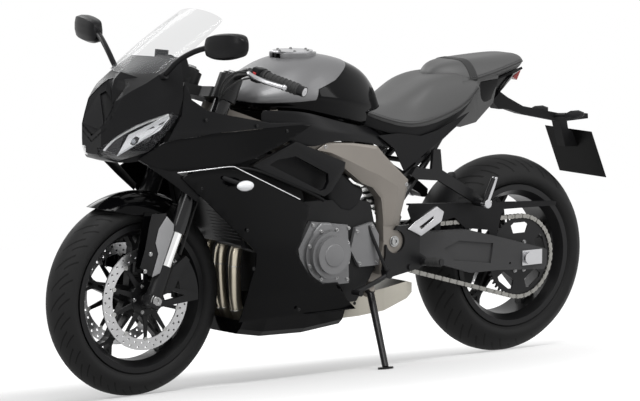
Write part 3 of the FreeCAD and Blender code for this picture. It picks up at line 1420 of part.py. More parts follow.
def cockpit_piece():
    """Instrument pod on the stay that runs from the steering head to the inside of the nose."""
    pod = slab([(1262, 958), (1300, 948), (1322, 1000), (1280, 1012)], -74, 74)
    stem = slab([(1170, 800), (1250, 832), (1340, 856), (1456, 862), (1456, 882), (1330, 886), (1316, 956),
                 (1298, 956), (1306, 886), (1244, 862), (1164, 830)], -16, 16)
    cross = rod(chassis(1448, -160, 872), chassis(1448, 160, 872), 7)
    cross = cross.common(nose_form(mm("panel_wall") + GAP))
    low = Vector(STEER_X, 0, mm("lower_yoke"))
    high = Vector(STEER_X, 0, mm("fork_top"))
    head = rod(FORK.multVec(low), FORK.multVec(high), mm("head_radius") + GAP)
    piece("cockpit", max(join(pod, stem, cross).cut(head).Solids, key=lambda solid: solid.Volume))


def mirror_pieces():
    """Mirrors on stalks from the nose, and turn signals on the sides."""
    pod = ball(chassis(1342, 352, 1072), 26, 82, 36, Rotation(Vector(0, 0, 1), 10))
    stalk = hose([chassis(1398, 118, 972), chassis(1388, 190, 1030), chassis(1350, 320, 1068)], 7)
    foot = rod(chassis(1402, 104, 962), chassis(1398, 130, 972), 14)
    whole = seated(join(pod, stalk, foot), nose_form(-GAP), Vector())
    piece("mirrors", both_sides(whole))
    lamp = ball(chassis(1190, 246, 641), 30, 15, 17)
    stem = rod(chassis(1236, 196, 664), chassis(1200, 240, 646), 7)
    signal = seated(join(lamp, stem), working("side_fairings"), Vector(0, 3 * GAP, 0))
    piece("front_signals", both_sides(signal))


def footrest_pieces():
    """Rider's brackets with heel plates and pegs, the foot levers, and the pillion's."""
    low, high = mm("spar_outside"), mm("spar_outside") + 9
    view = [(552, 462), (500, 462), (483, 470), (397, 511), (370, 494), (379, 466), (461, 425), (462, 372),
            (436, 356), (430, 334), (470, 322), (604, 300), (608, 330), (596, 372), (596, 402)]
    bracket = slab(view, low, high)
    pivot = chassis(557, 0, 414)
    bracket = bracket.cut(rod(pivot, pivot + Vector(0, 300, 0), mm("pivot_radius") + 2))
    window = slab([(482, 448), (470, 430), (400, 476), (396, 492)], low - 1, high + 1)
    bracket = bracket.cut(window)
    peg = rod(chassis(451, high - 2, 342), chassis(436, 252, 349), 11)
    guide = rod(chassis(500, high - 1, 330), chassis(500, high + 6, 330), 9)
    whole = join(bracket, peg, guide)
    left = whole.cut(working("frame"))
    left = max(left.Solids, key=lambda s: s.Volume)
    piece("peg_brackets", both_sides(left))
    out = high + GAP
    boss = rod(chassis(592, out, 316), chassis(592, out + 16, 316), 13)
    lever = hose([chassis(592, out + 8, 316), chassis(660, out + 8, 288), chassis(726, out + 16, 272)], 7)
    toe = rod(chassis(726, out + 6, 272), chassis(726, out + 44, 272), 9)
    link = hose([chassis(592, out + 8, 316), chassis(612, out + 8, 352), chassis(654, 158, 470)], 5)
    left = join(boss, lever, toe, link)
    right = join(boss, lever, toe).mirror(Vector(), Vector(0, 1, 0))
    covers = working("engine_covers")
    left = max(left.cut(covers).Solids, key=lambda s: s.Volume)
    piece("foot_controls", Part.makeCompound([left] + right.Solids))
    inside = mm("spar_outside") - mm("spar_wall")
    view = [(470, 612), (452, 634), (388, 624), (382, 684), (354, 684), (346, 618), (220, 546), (186, 520),
            (190, 492), (220, 508), (360, 586), (450, 596)]
    arm = slab(view, inside, inside + 12)
    tip = rod(chassis(205, inside, 508), chassis(205, inside + 56, 508), 13)
    peg = rod(chassis(214, inside + 58, 508), chassis(176, inside + 58, 584), 9)
    piece("pillion_pegs", both_sides(join(arm, tip, peg)))


def rear_end_pieces():
    """Plate bracket with its signals, the bare plate, the hugger and the chain guard."""
    view = [(60, 822), (20, 778), (-17, 776), (-81, 755), (-237, 722), (-262, 640), (-284, 650), (-268, 722),
            (-358, 725), (-357, 741), (-256, 745), (-81, 782), (-17, 814), (40, 850)]
    top = chassis(-290, 0, 694)
    low = chassis(-355, 0, 543)
    down = (low - top).normalize()
    face = Vector(down.z, 0, -down.x)
    tongue = [top + down * 6, top + down * 62]
    tongue = [point - face * GAP for point in tongue] + [chassis(-262, 0, 640), chassis(-266, 0, 700)]
    tongue = prism([point - Vector(0, 20, 0) for point in tongue], Vector(0, 40, 0))
    beam = join(slab(view, -20, 20), tongue)
    pods = []
    for side in (-1, 1):
        stem = rod(chassis(-215, side * 16, 742), chassis(-225, side * 76, 748), 6)
        pods += [stem, ball(chassis(-240, side * 88, 750), 44, 14, 15)]
    bracket = join(beam, *pods).cut(working("tail_light"))
    piece("plate_bracket", seated(bracket, working("tail_cowl"), Vector(0, 0, -2 * GAP)))
    half = mm("plate_width") / 2
    depth = mm("plate_depth")
    wide = Vector(0, half, 0)
    corners = [top - wide, top + wide, top + wide + down * depth, top - wide + down * depth]
    plate = prism(corners, face * mm("plate_wall"))
    piece("number_plate", plate)
    radius = mm("rear_radius") + 14
    crown = mm("rear_width") / 2 - 6
    y, x = REAR_AXLE.z, REAR_AXLE.x
    rows = [(0, radius), (0.5 * crown, radius - 10), (crown, radius - 36), (crown + 8, radius - 58)]
    wall = mm("fender_wall")
    outer = [(a, r + wall) for a, r in rows[:-1]] + [(crown + 8 + wall, radius - 58)]
    under = [Vector(x, s * a, y + r) for s, half_rows in ((-1, rows[::-1]), (1, rows[1:])) for a,
             r in half_rows]
    over = [Vector(x, s * a, y + r) for s, half_rows in ((1, outer[::-1]), (-1, outer[1:])) for a,
            r in half_rows]
    section = rounded(under, 7) + rounded(over, 7)
    ring = Part.makePolygon(section + section[:1])
    arch = Part.Face(ring).revolve(REAR_AXLE, Vector(0, 1, 0), 360)
    cut = [(430, 418), (440, 560), (306, 640), (170, 680), (150, 632), (214, 560), (238, 480), (250, 418)]
    arch = arch.common(prism([Vector(a, -200, b) for a, b in cut], Vector(0, 400, 0)))
    feet = [rod(chassis(376, s * 66, 388), Vector(286, s * 66, 432), 7) for s in (-1, 1)]
    piece("hugger", seated(join(arch, *feet), working("swingarm"), Vector(0, 0, GAP)))
    low_y = mm("chain_line") + mm("chain_inside") / 2 + mm("plate_thickness") + 2.2
    view = [(462, 500), (455, 517), (188, 501), (-145, 481), (-143, 468), (77, 472), (98, 405), (104, 376),
            (128, 376), (134, 410), (230, 424), (243, 433), (274, 461), (330, 454), (332, 408), (352, 408),
            (355, 451), (400, 440), (440, 446)]
    guard = slab(view, low_y, low_y + 3.5)
    guard = guard.cut(working("swingarm"))
    lip = slab([(456, 512), (455, 517), (188, 501), (-145, 481), (-145, 477), (188, 497)], low_y - 14, low_y)
    piece("chain_guard", max(join(guard, lip).Solids, key=lambda s: s.Volume))


def shock_piece():
    """Rear shock absorber between the swingarm's beam and the frame's upper beam."""
    low = chassis(418, 0, 426)
    high = chassis(580, 0, 640)
    run = (high - low).normalize()
    body = rod(low + run * 6, low + run * 150, 20)
    shaft = rod(low, high, 9)
    seats = [hose([low + run * a, low + run * (a + 7)], 34, sides=12) for a in (28, 196)]
    coils = [hose([low + run * (38 + 22 * n), low + run * (48 + 22 * n)], 32, sides=12) for n in range(7)]
    shock = join(body, shaft, *seats, *coils)
    shock = shock.cut(working("frame")).cut(working("swingarm"))
    piece("shock", max(shock.Solids, key=lambda s: s.Volume))


tank_pieces()
seat_pieces()
tail_pieces()
piece("subframe", rails(mm("tube_radius")))
nose_pieces()
screen_piece()
fairing_pieces()
cockpit_piece()
mirror_pieces()
footrest_pieces()
rear_end_pieces()
shock_piece()

doc.recompute()
failed = [o.Name for o in doc.Objects if "Invalid" in o.State or "Error" in o.State]
failed += [n for n, o in PARTS.items() if o.Shape.isNull() or not o.Shape.isValid()]
if failed:
    raise RuntimeError(f"not built: {failed}")
os.makedirs("parts", exist_ok=True)
for label, item in PARTS.items():
    item.Shape.exportStep(f"parts/{label}.step")
print(len(PARTS), "pieces written")
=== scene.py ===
"""Looks of a middleweight sport bike that leans on its side stand.

Pieces are modelled upright in millimetres, in the machine's own working frame: X forward from the
rear axle, Y to the rider's left, Z up from the ground. Stance.lean then leans them over.
"""

from __future__ import annotations

import json
import logging
import math
from contextlib import contextmanager
from dataclasses import dataclass
from enum import Enum
from typing import Callable, Iterator, Sequence

import bpy
from mathutils import Matrix, Vector

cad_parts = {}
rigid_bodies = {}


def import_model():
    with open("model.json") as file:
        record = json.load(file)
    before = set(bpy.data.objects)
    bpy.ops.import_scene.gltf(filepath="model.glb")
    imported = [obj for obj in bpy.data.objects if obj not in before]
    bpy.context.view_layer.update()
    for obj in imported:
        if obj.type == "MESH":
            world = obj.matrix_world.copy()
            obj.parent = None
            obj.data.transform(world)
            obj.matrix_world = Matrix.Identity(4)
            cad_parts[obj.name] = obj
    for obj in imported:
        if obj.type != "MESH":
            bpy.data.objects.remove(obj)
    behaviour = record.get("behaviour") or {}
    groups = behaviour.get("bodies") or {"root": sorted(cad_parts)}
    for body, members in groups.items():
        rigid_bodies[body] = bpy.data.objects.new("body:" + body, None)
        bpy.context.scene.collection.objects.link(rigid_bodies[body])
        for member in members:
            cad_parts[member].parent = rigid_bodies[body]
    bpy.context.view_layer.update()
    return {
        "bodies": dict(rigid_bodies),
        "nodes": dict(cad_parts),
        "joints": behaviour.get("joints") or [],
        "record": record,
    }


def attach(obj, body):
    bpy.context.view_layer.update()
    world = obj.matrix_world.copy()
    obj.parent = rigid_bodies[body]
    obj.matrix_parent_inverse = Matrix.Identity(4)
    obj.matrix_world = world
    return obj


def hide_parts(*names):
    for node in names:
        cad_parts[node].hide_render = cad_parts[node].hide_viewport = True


LOG = logging.getLogger("sport_bike")
MM = 0.001
WELD = 1e-6
WHEELBASE = 1426
FRONT_RADIUS = 300
REAR_RADIUS = 315
COVER_CENTRE = (820, 396)
FILLER = (828, 0, 1000)
LEFT = (0, 1, 0)
Spot = tuple[float, float]
Point = tuple[float, float, float]


class Body(Enum):
    """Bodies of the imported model."""

    CHASSIS = "chassis"
    STEERING = "steering"
    FRONT_WHEEL = "front_wheel"
    REAR_WHEEL = "rear_wheel"
    SIDE_STAND = "side_stand"
    FILLER_LID = "filler_lid"


class Grain(Enum):
    """Small-scale relief of a finish."""

    SMOOTH = "smooth"
    MOULDED = "moulded"
    CAST = "cast"
    BRUSHED = "brushed"


@dataclass(frozen=True)
class Graph:
    """The nodes of a material or a world."""

    tree: bpy.types.NodeTree

    @property
    def shader(self) -> bpy.types.Node:
        """A material's main shader."""
        return self.tree.nodes["Principled BSDF"]

    def feed(self, node: bpy.types.Node, inputs: dict) -> bpy.types.Node:
        """Sets or links a node's inputs.

        Args:
            node: The node.
            inputs: A value or another node's output for each input, by name or number.

        Returns:
            The node.
        """
        for key, value in inputs.items():
            if isinstance(value, bpy.types.NodeSocket):
                self.tree.links.new(value, node.inputs[key])
            else:
                node.inputs[key].default_value = value
        return node

    def add(self, kind: str, inputs: dict | None = None, **settings: str) -> bpy.types.Node:
        """Adds a node.

        Args:
            kind: Its type, without the words that all types start with.
            inputs: What feed() takes.
            settings: Its properties.

        Returns:
            The node.
        """
        node = self.tree.nodes.new(f"ShaderNode{kind}")
        for key, value in settings.items():
            setattr(node, key, value)
        return self.feed(node, inputs or {})

    def sum_up(self, operation: str, *values: float | bpy.types.NodeSocket) -> bpy.types.NodeSocket:
        """One step of a formula."""
        return self.add("Math", dict(enumerate(values)), operation=operation).outputs[0]

    def ranged(self, source: bpy.types.NodeSocket, low: float, high: float) -> bpy.types.NodeSocket:
        """Spreads 0 to 1 over a range."""
        return self.add("MapRange", {"Value": source, "To Min": low, "To Max": high}).outputs["Result"]

    def bump(self, height: bpy.types.NodeSocket, strength: float, distance: float) -> bpy.types.Node:
        """Adds a bump of a height."""
        return self.add("Bump", {"Height": height, "Strength": strength, "Distance": distance})

    def place(self) -> bpy.types.NodeSocket:
        """Where a point of the piece is."""
        return self.add("TexCoord").outputs["Object"]

    def seen(self) -> bpy.types.NodeSocket:
        """1 for rays from the camera, in reflections and through glass, 0 for the light itself.

        Returns:
            The value's socket.
        """
        path = self.add("LightPath").outputs
        total = path["Is Camera Ray"]
        for name in ("Is Glossy Ray", "Is Transmission Ray"):
            total = self.sum_up("MAXIMUM", total, path[name])
        return total


@dataclass(frozen=True)
class AnyFinish:
    """What all finishes share: a node material that is made once, and the slot that it stands for."""

    name: str
    slot: str

    def material(self) -> bpy.types.Material:
        """Returns the finish as a material.

        Returns:
            The material.
        """
        made = bpy.data.materials.get(self.name)
        if not made:
            made = bpy.data.materials.new(self.name)
            made.use_nodes = True
            self.wire(Graph(made.node_tree))
        return made

    def wire(self, graph: Graph) -> None:
        """Builds the finish's nodes."""
        raise NotImplementedError


@dataclass(frozen=True)
class PackedFinish(AnyFinish):
    """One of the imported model's own plain materials, which stays as it was packed."""

    def material(self) -> bpy.types.Material:
        """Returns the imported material.

        Returns:
            The material.
        """
        return bpy.data.materials[self.name]


@dataclass(frozen=True)
class Finish(AnyFinish):
    """A surface finish.

    Colour and roughness drift a little over the surface, and the grain is a bump.
    """

    colour: Point
    roughness: float = 0.4
    metallic: float = 0.0
    coat: float = 0.0
    grain: Grain = Grain.SMOOTH
    grain_scale: float = 900.0
    grain_depth: float = 0.1
    drift: float = 0.12
    specular: float = 0.5

    def wire(self, graph: Graph) -> None:
        """Builds the finish's nodes.

        Args:
            graph: The material's nodes.
        """
        place = graph.place()
        cloud = graph.add("TexNoise", {"Vector": place, "Scale": 9.0, "Detail": 4.0}).outputs["Fac"]
        dark = [c * (1 - self.drift) for c in self.colour]
        pale = [min(1.0, c * (1 + self.drift)) for c in self.colour]
        tint = graph.add("Mix", {"A": (*dark, 1), "B": (*pale, 1), "Factor": cloud}, data_type="RGBA")
        graph.feed(graph.shader, {
            "Base Color": tint.outputs["Result"],
            "Roughness": graph.ranged(cloud, self.roughness * 0.88, self.roughness * 1.12),
            "Metallic": self.metallic,
            "Coat Weight": self.coat,
            "Coat Roughness": 0.05,
            "Specular IOR Level": self.specular,
        })
        if self.grain is not Grain.SMOOTH:
            bump = graph.bump(self._relief(graph, place), self.grain_depth, 0.0006)
            graph.feed(graph.shader, {"Normal": bump.outputs["Normal"]})

    def _relief(self, graph: Graph, place: bpy.types.NodeSocket) -> bpy.types.NodeSocket:
        """The grain's height.

        Args:
            graph: The material's nodes.
            place: Where a point of the piece is.

        Returns:
            The height's socket.
        """
        along = 0.06 if self.grain is Grain.BRUSHED else 1.0
        spot = graph.add("Mapping", {"Vector": place, "Scale": (along, 1.0, 1.0)}).outputs["Vector"]
        inputs = {"Vector": spot, "Scale": self.grain_scale, "Detail": 3.0}
        return graph.add("TexNoise", inputs).outputs["Fac"]


@dataclass(frozen=True)
class ClearFinish(AnyFinish):
    """A see-through plastic or glass, with a faint haze that drifts over it."""

    colour: Point
    roughness: float = 0.03
    opacity: float = 0.12

    def wire(self, graph: Graph) -> None:
        """Builds the finish's nodes.

        Args:
            graph: The material's nodes.
        """
        haze = graph.add("TexNoise", {"Vector": graph.place(), "Scale": 14.0}).outputs["Fac"]
        graph.feed(graph.shader, {
            "Base Color": (*self.colour, 1),
            "Alpha": self.opacity,
            "Specular IOR Level": 0.4,
            "Roughness": graph.ranged(haze, self.roughness * 0.6, self.roughness * 1.4),
        })


@dataclass(frozen=True)
class TreadFinish(Finish):
    """Tyre rubber with slanted tread grooves, drawn on the tyre's own map, with painted shade in the grooves.

    Across the map 0 is the crown, 1 the edge of the tread and 1.4 the sidewall; along it the wheel
    goes round once.
    """

    colour: Point = (0.012, 0.012, 0.0122)
    roughness: float = 0.6
    grain: Grain = Grain.MOULDED
    grain_scale: float = 700
    specular: float = 0.14
    repeats: int = 30
    slant: float = 1.5
    long_groove: float = 0.065
    short_groove: float = 0.13 / 2.4
    inner: Spot = (0.10, 0.78)
    outer: Spot = (0.55, 0.93)
    ridge: float = 1.2

    def wire(self, graph: Graph) -> None:
        """Builds the rubber's nodes, cuts the grooves into them and darkens them with painted shade.

        Args:
            graph: The material's nodes.
        """
        super().wire(graph)
        spot = graph.add("SeparateXYZ", {"Vector": graph.add("UVMap").outputs["UV"]}).outputs
        out = graph.sum_up("ABSOLUTE", spot["X"])
        along = graph.sum_up("MULTIPLY_ADD", spot["Y"], float(self.repeats),
                             graph.sum_up("MULTIPLY", out, self.slant))
        depth = graph.sum_up(
            "MAXIMUM", self._grooves(graph, along, self.long_groove, out, self.inner),
            self._grooves(graph, graph.sum_up("ADD", along, 0.5), self.short_groove, out, self.outer))
        ridge = graph.sum_up("MULTIPLY", graph.sum_up("COMPARE", out, self.ridge, 0.02), 0.3)
        bump = graph.bump(graph.sum_up("SUBTRACT", ridge, depth), 0.9, 0.004)
        inputs = graph.shader.inputs
        graph.feed(inputs["Normal"].links[0].from_node, {"Normal": bump.outputs["Normal"]})
        # Painted shade: the rubber is mixed towards black inside the grooves.
        shade = graph.add("Mix", {
            "A": inputs["Base Color"].links[0].from_socket,
            "B": (0.001, 0.001, 0.001, 1),
            "Factor": graph.sum_up("MULTIPLY", depth, 0.9),
        }, data_type="RGBA")
        graph.feed(graph.shader, {"Base Color": shade.outputs["Result"]})

    @staticmethod
    def _grooves(graph: Graph, along: bpy.types.NodeSocket, width: float, out: bpy.types.NodeSocket,
                 reach: Spot) -> bpy.types.NodeSocket:
        """One row of grooves round the tyre.

        Args:
            graph: The material's nodes.
            along: Runs up by 1 from groove to groove.
            width: Half a groove's width in the same measure.
            out: The distance from the crown.
            reach: Where the grooves start and end, in that distance.

        Returns:
            1 in the grooves, 0 elsewhere.
        """
        cut = graph.sum_up("LESS_THAN", graph.sum_up("PINGPONG", along, 0.5), width)
        band = graph.sum_up("MULTIPLY", graph.sum_up("GREATER_THAN", out, reach[0]),
                            graph.sum_up("LESS_THAN", out, reach[1]))
        return graph.sum_up("MULTIPLY", cut, band)


GLOSS_BLACK = Finish("gloss_black_paint", "gloss_black", (0.0015, 0.0015, 0.0018), 0.10,
                     grain=Grain.MOULDED, grain_scale=500, grain_depth=0.01, specular=0.09)
SATIN_BLACK = Finish("satin_black_panels", "satin_black", (0.0035, 0.0035, 0.004), 0.36,
                     grain=Grain.MOULDED, grain_scale=1600, grain_depth=0.05, specular=0.14)
PLAIN_PLASTIC = Finish("plain_black_plastic", "satin_black", (0.008, 0.008, 0.0085), 0.55,
                       grain=Grain.MOULDED, grain_scale=1400, grain_depth=0.14, specular=0.12)
GRAPHITE = Finish("graphite_paint", "grey_paint", (0.135, 0.135, 0.138), 0.42, metallic=0.3, coat=0.15,
                  grain=Grain.MOULDED, grain_scale=2200, grain_depth=0.04, drift=0.06, specular=0.3)
WARM_GREY = Finish("warm_grey_paint", "bronze_paint", (0.205, 0.187, 0.167), 0.42, metallic=0.35,
                   grain=Grain.CAST, grain_scale=900, grain_depth=0.12, drift=0.07, specular=0.3)
BLACK_METAL = Finish("black_coated_metal", "black_metal", (0.007, 0.007, 0.0075), 0.36,
                     grain=Grain.CAST, grain_scale=1100, grain_depth=0.06, specular=0.2)
SWING_GREY = Finish("swingarm_grey", "black_metal", (0.04, 0.04, 0.041), 0.5, grain=Grain.CAST,
                    grain_scale=1000, grain_depth=0.1, specular=0.2)
FORK_BLACK = Finish("anodised_fork_black", "black_metal", (0.006, 0.006, 0.0065), 0.14, grain=Grain.BRUSHED,
                    grain_scale=1500, grain_depth=0.01, specular=0.32)
FORGED_GREY = Finish("forged_dark_grey", "cover_metal", (0.075, 0.075, 0.077), 0.42, metallic=0.4,
                     grain=Grain.CAST, grain_scale=1000, grain_depth=0.08, specular=0.3)
GUARD_GREY = Finish("fork_guard_grey", "black_metal", (0.27, 0.27, 0.275), 0.4, grain=Grain.BRUSHED,
                    grain_scale=1200, grain_depth=0.04, specular=0.3)
HEADER_STEEL = Finish("heated_header_steel", "exhaust_steel", (0.52, 0.475, 0.38), 0.28, metallic=0.9,
                      grain=Grain.BRUSHED, grain_scale=900, grain_depth=0.05)
ENGINE_BLACK = Finish("engine_black_alloy", "engine_metal", (0.010, 0.010, 0.0105), 0.5,
                      grain=Grain.CAST, grain_scale=700, grain_depth=0.25, specular=0.15)
COVER_GREY = Finish("cover_grey_alloy", "cover_metal", (0.165, 0.165, 0.168), 0.4, metallic=0.4,
                    grain=Grain.CAST, grain_scale=800, grain_depth=0.2, specular=0.3)
CHROME_TUBE = Finish("chromed_fork_tube", "chrome_tube", (0.75, 0.75, 0.75), 0.09, metallic=1.0,
                     grain=Grain.BRUSHED, grain_scale=600, grain_depth=0.02, drift=0.03)
DISC_STEEL = Finish("ground_disc_steel", "disc_steel", (0.52, 0.52, 0.525), 0.3, metallic=1.0,
                    grain=Grain.BRUSHED, grain_scale=500, grain_depth=0.12, drift=0.05)
PLATED_STEEL = Finish("plated_steel", "bare_steel", (0.46, 0.46, 0.45), 0.34, metallic=1.0,
                      grain=Grain.CAST, grain_scale=900, grain_depth=0.08)
EXHAUST = Finish("straw_tinted_steel", "exhaust_steel", (0.40, 0.38, 0.33), 0.32, metallic=0.85,
                 grain=Grain.BRUSHED, grain_scale=420, grain_depth=0.06, drift=0.14)
SILVER_ALLOY = Finish("silver_alloy", "alloy_silver", (0.42, 0.42, 0.43), 0.3, metallic=1.0,
                      grain=Grain.BRUSHED, grain_scale=700, grain_depth=0.06, drift=0.05)
TYRE_RUBBER = Finish("tyre_rubber", "tyre", (0.012, 0.012, 0.0125), 0.62, grain=Grain.MOULDED,
                     grain_scale=700, grain_depth=0.12, specular=0.35)
GRIP_RUBBER = PackedFinish("grip_rubber", "grip_rubber")
SEAT_VINYL = PackedFinish("seat_vinyl", "seat_vinyl")
REFLECTOR = Finish("lamp_reflector", "lamp_bowl", (0.72, 0.73, 0.75), 0.12, metallic=1.0,
                   grain=Grain.MOULDED, grain_scale=120, grain_depth=0.1, drift=0.05)
PLATE_BLACK = Finish("blank_plate", "plate_black", (0.006, 0.006, 0.006), 0.5, grain=Grain.MOULDED,
                     grain_scale=900, grain_depth=0.04, specular=0.06)
RED_LENS = PackedFinish("red_lens", "red_lens")
RED_PLASTIC = Finish("red_switch", "red_lens", (0.42, 0.012, 0.012), 0.35, grain=Grain.MOULDED,
                     grain_scale=900, grain_depth=0.05)
SCREEN = ClearFinish("smoked_screen", "screen", (0.10, 0.105, 0.11), 0.04, 0.12)
LAMP_COVER = ClearFinish("clear_lamp_cover", "lamp_glass", (0.06, 0.06, 0.065), 0.03, 0.12)
CHAIN_STEEL = Finish("oiled_chain_steel", "bare_steel", (0.24, 0.235, 0.22), 0.36, metallic=1.0,
                     grain=Grain.CAST, grain_scale=700, grain_depth=0.05, drift=0.2)
BOLT_STEEL = Finish("bolt_steel", "bare_steel", (0.3, 0.3, 0.3), 0.3, metallic=1.0, grain=Grain.BRUSHED,
                    grain_scale=900, grain_depth=0.05)
THREAD = Finish("seam_thread", "seat_vinyl", (0.05, 0.05, 0.052), 0.7, grain=Grain.MOULDED, grain_scale=2000,
                grain_depth=0.4)
# A painted highlight: silver for the thin line along the fairing's lower crease, where it catches the light.
CREASE_HIGHLIGHT = Finish("crease_highlight_paint", "alloy_silver", (0.75, 0.75, 0.76), 0.25, metallic=0.6, drift=0.03)
LAMP_DARK = Finish("lamp_dark_trim", "satin_black", (0.02, 0.02, 0.022), 0.2, grain=Grain.MOULDED,
                   grain_scale=500, grain_depth=0.03, specular=0.3)
LENS_GLASS = Finish("projector_glass", "lamp_glass", (0.35, 0.37, 0.40), 0.04, metallic=0.6, coat=1.0,
                    drift=0.1)
LIGHT_STRIP = Finish("light_strip", "lamp_glass", (0.88, 0.89, 0.9), 0.2, coat=0.6, grain=Grain.MOULDED,
                     grain_scale=300, grain_depth=0.1, drift=0.02)
SIGNAL_LENS = Finish("clear_signal_lens", "lamp_glass", (0.72, 0.73, 0.75), 0.08, coat=1.0,
                     grain=Grain.MOULDED, grain_scale=320, grain_depth=0.25, drift=0.05)
MIRROR_GLASS = Finish("mirror_glass", "chrome_tube", (0.85, 0.86, 0.88), 0.02, metallic=1.0, drift=0.02)


@dataclass
class Stance:
    """How the leaning machine stands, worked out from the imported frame."""

    wheel_pivot: Vector
    across: Vector
    axle_height: float = REAR_RADIUS * MM

    @classmethod
    def read(cls, frame: dict) -> Stance:
        """Reads the stance from the rear wheel's joint.


        Returns:
            The stance.
        """
        spin = next(j for j in frame["joints"] if j["name"] == "rear_wheel_spin")
        return cls(Vector(spin["pos_m"]), Vector(spin["axis"]))

    @property
    def lean(self) -> Matrix:
        """From the upright working frame to the leaning machine."""
        turn = Matrix.Rotation(math.atan2(self.across.z, self.across.y), 4, "X")
        return Matrix.Translation(self.wheel_pivot) @ turn @ Matrix.Translation((0, 0, -self.axle_height))


def deselect() -> None:
    """Leaves nothing selected."""
    if bpy.context.mode != "OBJECT":
        bpy.ops.object.mode_set(mode="OBJECT")
    bpy.ops.object.select_all(action="DESELECT")


def only(*items: bpy.types.Object) -> None:
    """Selects objects and makes the first one active.

    Args:
        items: The objects.
    """
    deselect()
    for item in items:
        item.select_set(True)
    bpy.context.view_layer.objects.active = items[0]


@contextmanager
def editing(item: bpy.types.Object) -> Iterator[None]:
    """Opens a mesh for editing with everything in it selected, and closes it afterwards.

    Args:
        item: The object.

    Returns:
        Nothing of use.
    """
    only(item)
    bpy.ops.object.mode_set(mode="EDIT")
    bpy.ops.mesh.select_all(action="SELECT")
    yield
    bpy.ops.object.mode_set(mode="OBJECT")


def apply_modifier(item: bpy.types.Object, kind: str, **settings: object) -> None:
    """Adds a modifier with its settings and applies it.

    Args:
        item: The object.
        kind: The modifier's type.
        settings: Its properties.
    """
    only(item)
    added = item.modifiers.new(kind.lower(), kind)
    for key, value in settings.items():
        setattr(added, key, value)
    bpy.ops.object.modifier_apply(modifier=added.name)


def joined(items: Sequence[bpy.types.Object]) -> bpy.types.Object:
    """Joins objects into the first one.

    Args:
        items: The objects.

    Returns:
        The joined object.
    """
    only(*items)
    if len(items) > 1:
        bpy.ops.object.join()
    return items[0]


def settle(item: bpy.types.Object) -> bpy.types.Object:
    """Applies the object's place, turn and scale to its mesh.

    Args:
        item: The object.

    Returns:
        The object.
    """
    only(item)
    bpy.ops.object.transform_apply(location=True, rotation=True, scale=True)
    return item


def smooth(item: bpy.types.Object, angle: float) -> bpy.types.Object:
    """Shades an object smooth, with edges sharper than an angle left crisp.

    Args:
        item: The object.
        angle: The angle, in degrees.

    Returns:
        The object.
    """
    only(item)
    bpy.ops.object.shade_smooth_by_angle(angle=math.radians(angle))
    return item


def welded(item: bpy.types.Object, fill: bool = False) -> bpy.types.Object:
    """Merges doubles and points the faces outwards.

    Args:
        item: The object.
        fill: Whether its open ends are filled.

    Returns:
        The object.
    """
    with editing(item):
        bpy.ops.mesh.remove_doubles(threshold=WELD)
        if fill:
            bpy.ops.mesh.fill_holes(sides=0)
            bpy.ops.mesh.select_all(action="SELECT")
        bpy.ops.mesh.normals_make_consistent(inside=False)
    return item


def sheet(rows: Sequence[Sequence[Point]], around: bool = False) -> bpy.types.Object:
    """Draws a grid out to rows of points.

    Args:
        rows: Points in millimetres, the same number in each row.
        around: Whether each row is a loop.

    Returns:
        The sheet, or the tube where rows are loops.
    """
    deselect()
    lines = [list(row) + ([row[0]] if around else []) for row in rows]
    bpy.ops.mesh.primitive_grid_add(x_subdivisions=len(lines[0]) - 1, y_subdivisions=len(lines) - 1, size=1)
    item = bpy.context.active_object
    for vertex, point in zip(item.data.vertices, [point for line in lines for point in line]):
        vertex.co = Vector(point) * MM
    return welded(item) if around else item


def block(sections: Sequence[Sequence[Point]]) -> bpy.types.Object:
    """Closes a form through sections that are loops."""
    return welded(sheet(sections, around=True), fill=True)


def facing(item: bpy.types.Object, way: Point) -> bpy.types.Object:
    """Turns an open sheet's faces over where they look away from a direction.

    Args:
        item: The sheet.
        way: The direction.

    Returns:
        The sheet.
    """
    total = sum((face.normal * face.area for face in item.data.polygons), Vector())
    if total.dot(Vector(way)) < 0:
        with editing(item):
            bpy.ops.mesh.flip_normals()
    return item


def creased(item: bpy.types.Object, test: Callable[[Vector, Vector], float]) -> bpy.types.Object:
    """Holds edges sharp under subdivision.

    Args:
        item: The cage.
        test: Gives an edge's sharpness, 0 to 1, from its two ends in millimetres.

    Returns:
        The cage.
    """
    layer = item.data.attributes.new("crease_edge", "FLOAT", "EDGE")
    points = item.data.vertices
    for edge in item.data.edges:
        one, two = (points[number].co / MM for number in edge.vertices)
        layer.data[edge.index].value = test(one, two)
    return item


def rounded(item: bpy.types.Object, levels: int = 2) -> bpy.types.Object:
    """Subdivides a cage into a smooth surface."""
    apply_modifier(item, "SUBSURF", levels=levels, render_levels=levels)
    return item


def thick(item: bpy.types.Object, wall: float) -> bpy.types.Object:
    """Gives a sheet its wall, inwards from its outer face."""
    apply_modifier(item, "SOLIDIFY", thickness=wall * MM, offset=-1.0, use_even_offset=True)
    return item


def softened(item: bpy.types.Object, width: float, segments: int = 2) -> bpy.types.Object:
    """Rounds an object's sharp edges over.

    Args:
        item: The object.
        width: The rounding's width.
        segments: Its facets.

    Returns:
        The object.
    """
    apply_modifier(item, "BEVEL", width=width * MM, segments=segments, limit_method="ANGLE",
                   angle_limit=math.radians(40))
    return item


def plate(points: Sequence[Point], along: Point) -> bpy.types.Object:
    """Extrudes a flat outline along a direction.

    Args:
        points: The outline.
        along: How far it is extruded each way.

    Returns:
        The plate.
    """
    deselect()
    bpy.ops.mesh.primitive_circle_add(vertices=len(points), fill_type="NGON")
    item = bpy.context.active_object
    for vertex, point in zip(item.data.vertices, points):
        vertex.co = Vector(point) * MM
    with editing(item):
        bpy.ops.mesh.extrude_region_move(TRANSFORM_OT_translate={"value": Vector(along) * MM})
        bpy.ops.mesh.select_all(action="SELECT")
        bpy.ops.mesh.normals_make_consistent(inside=False)
    return item


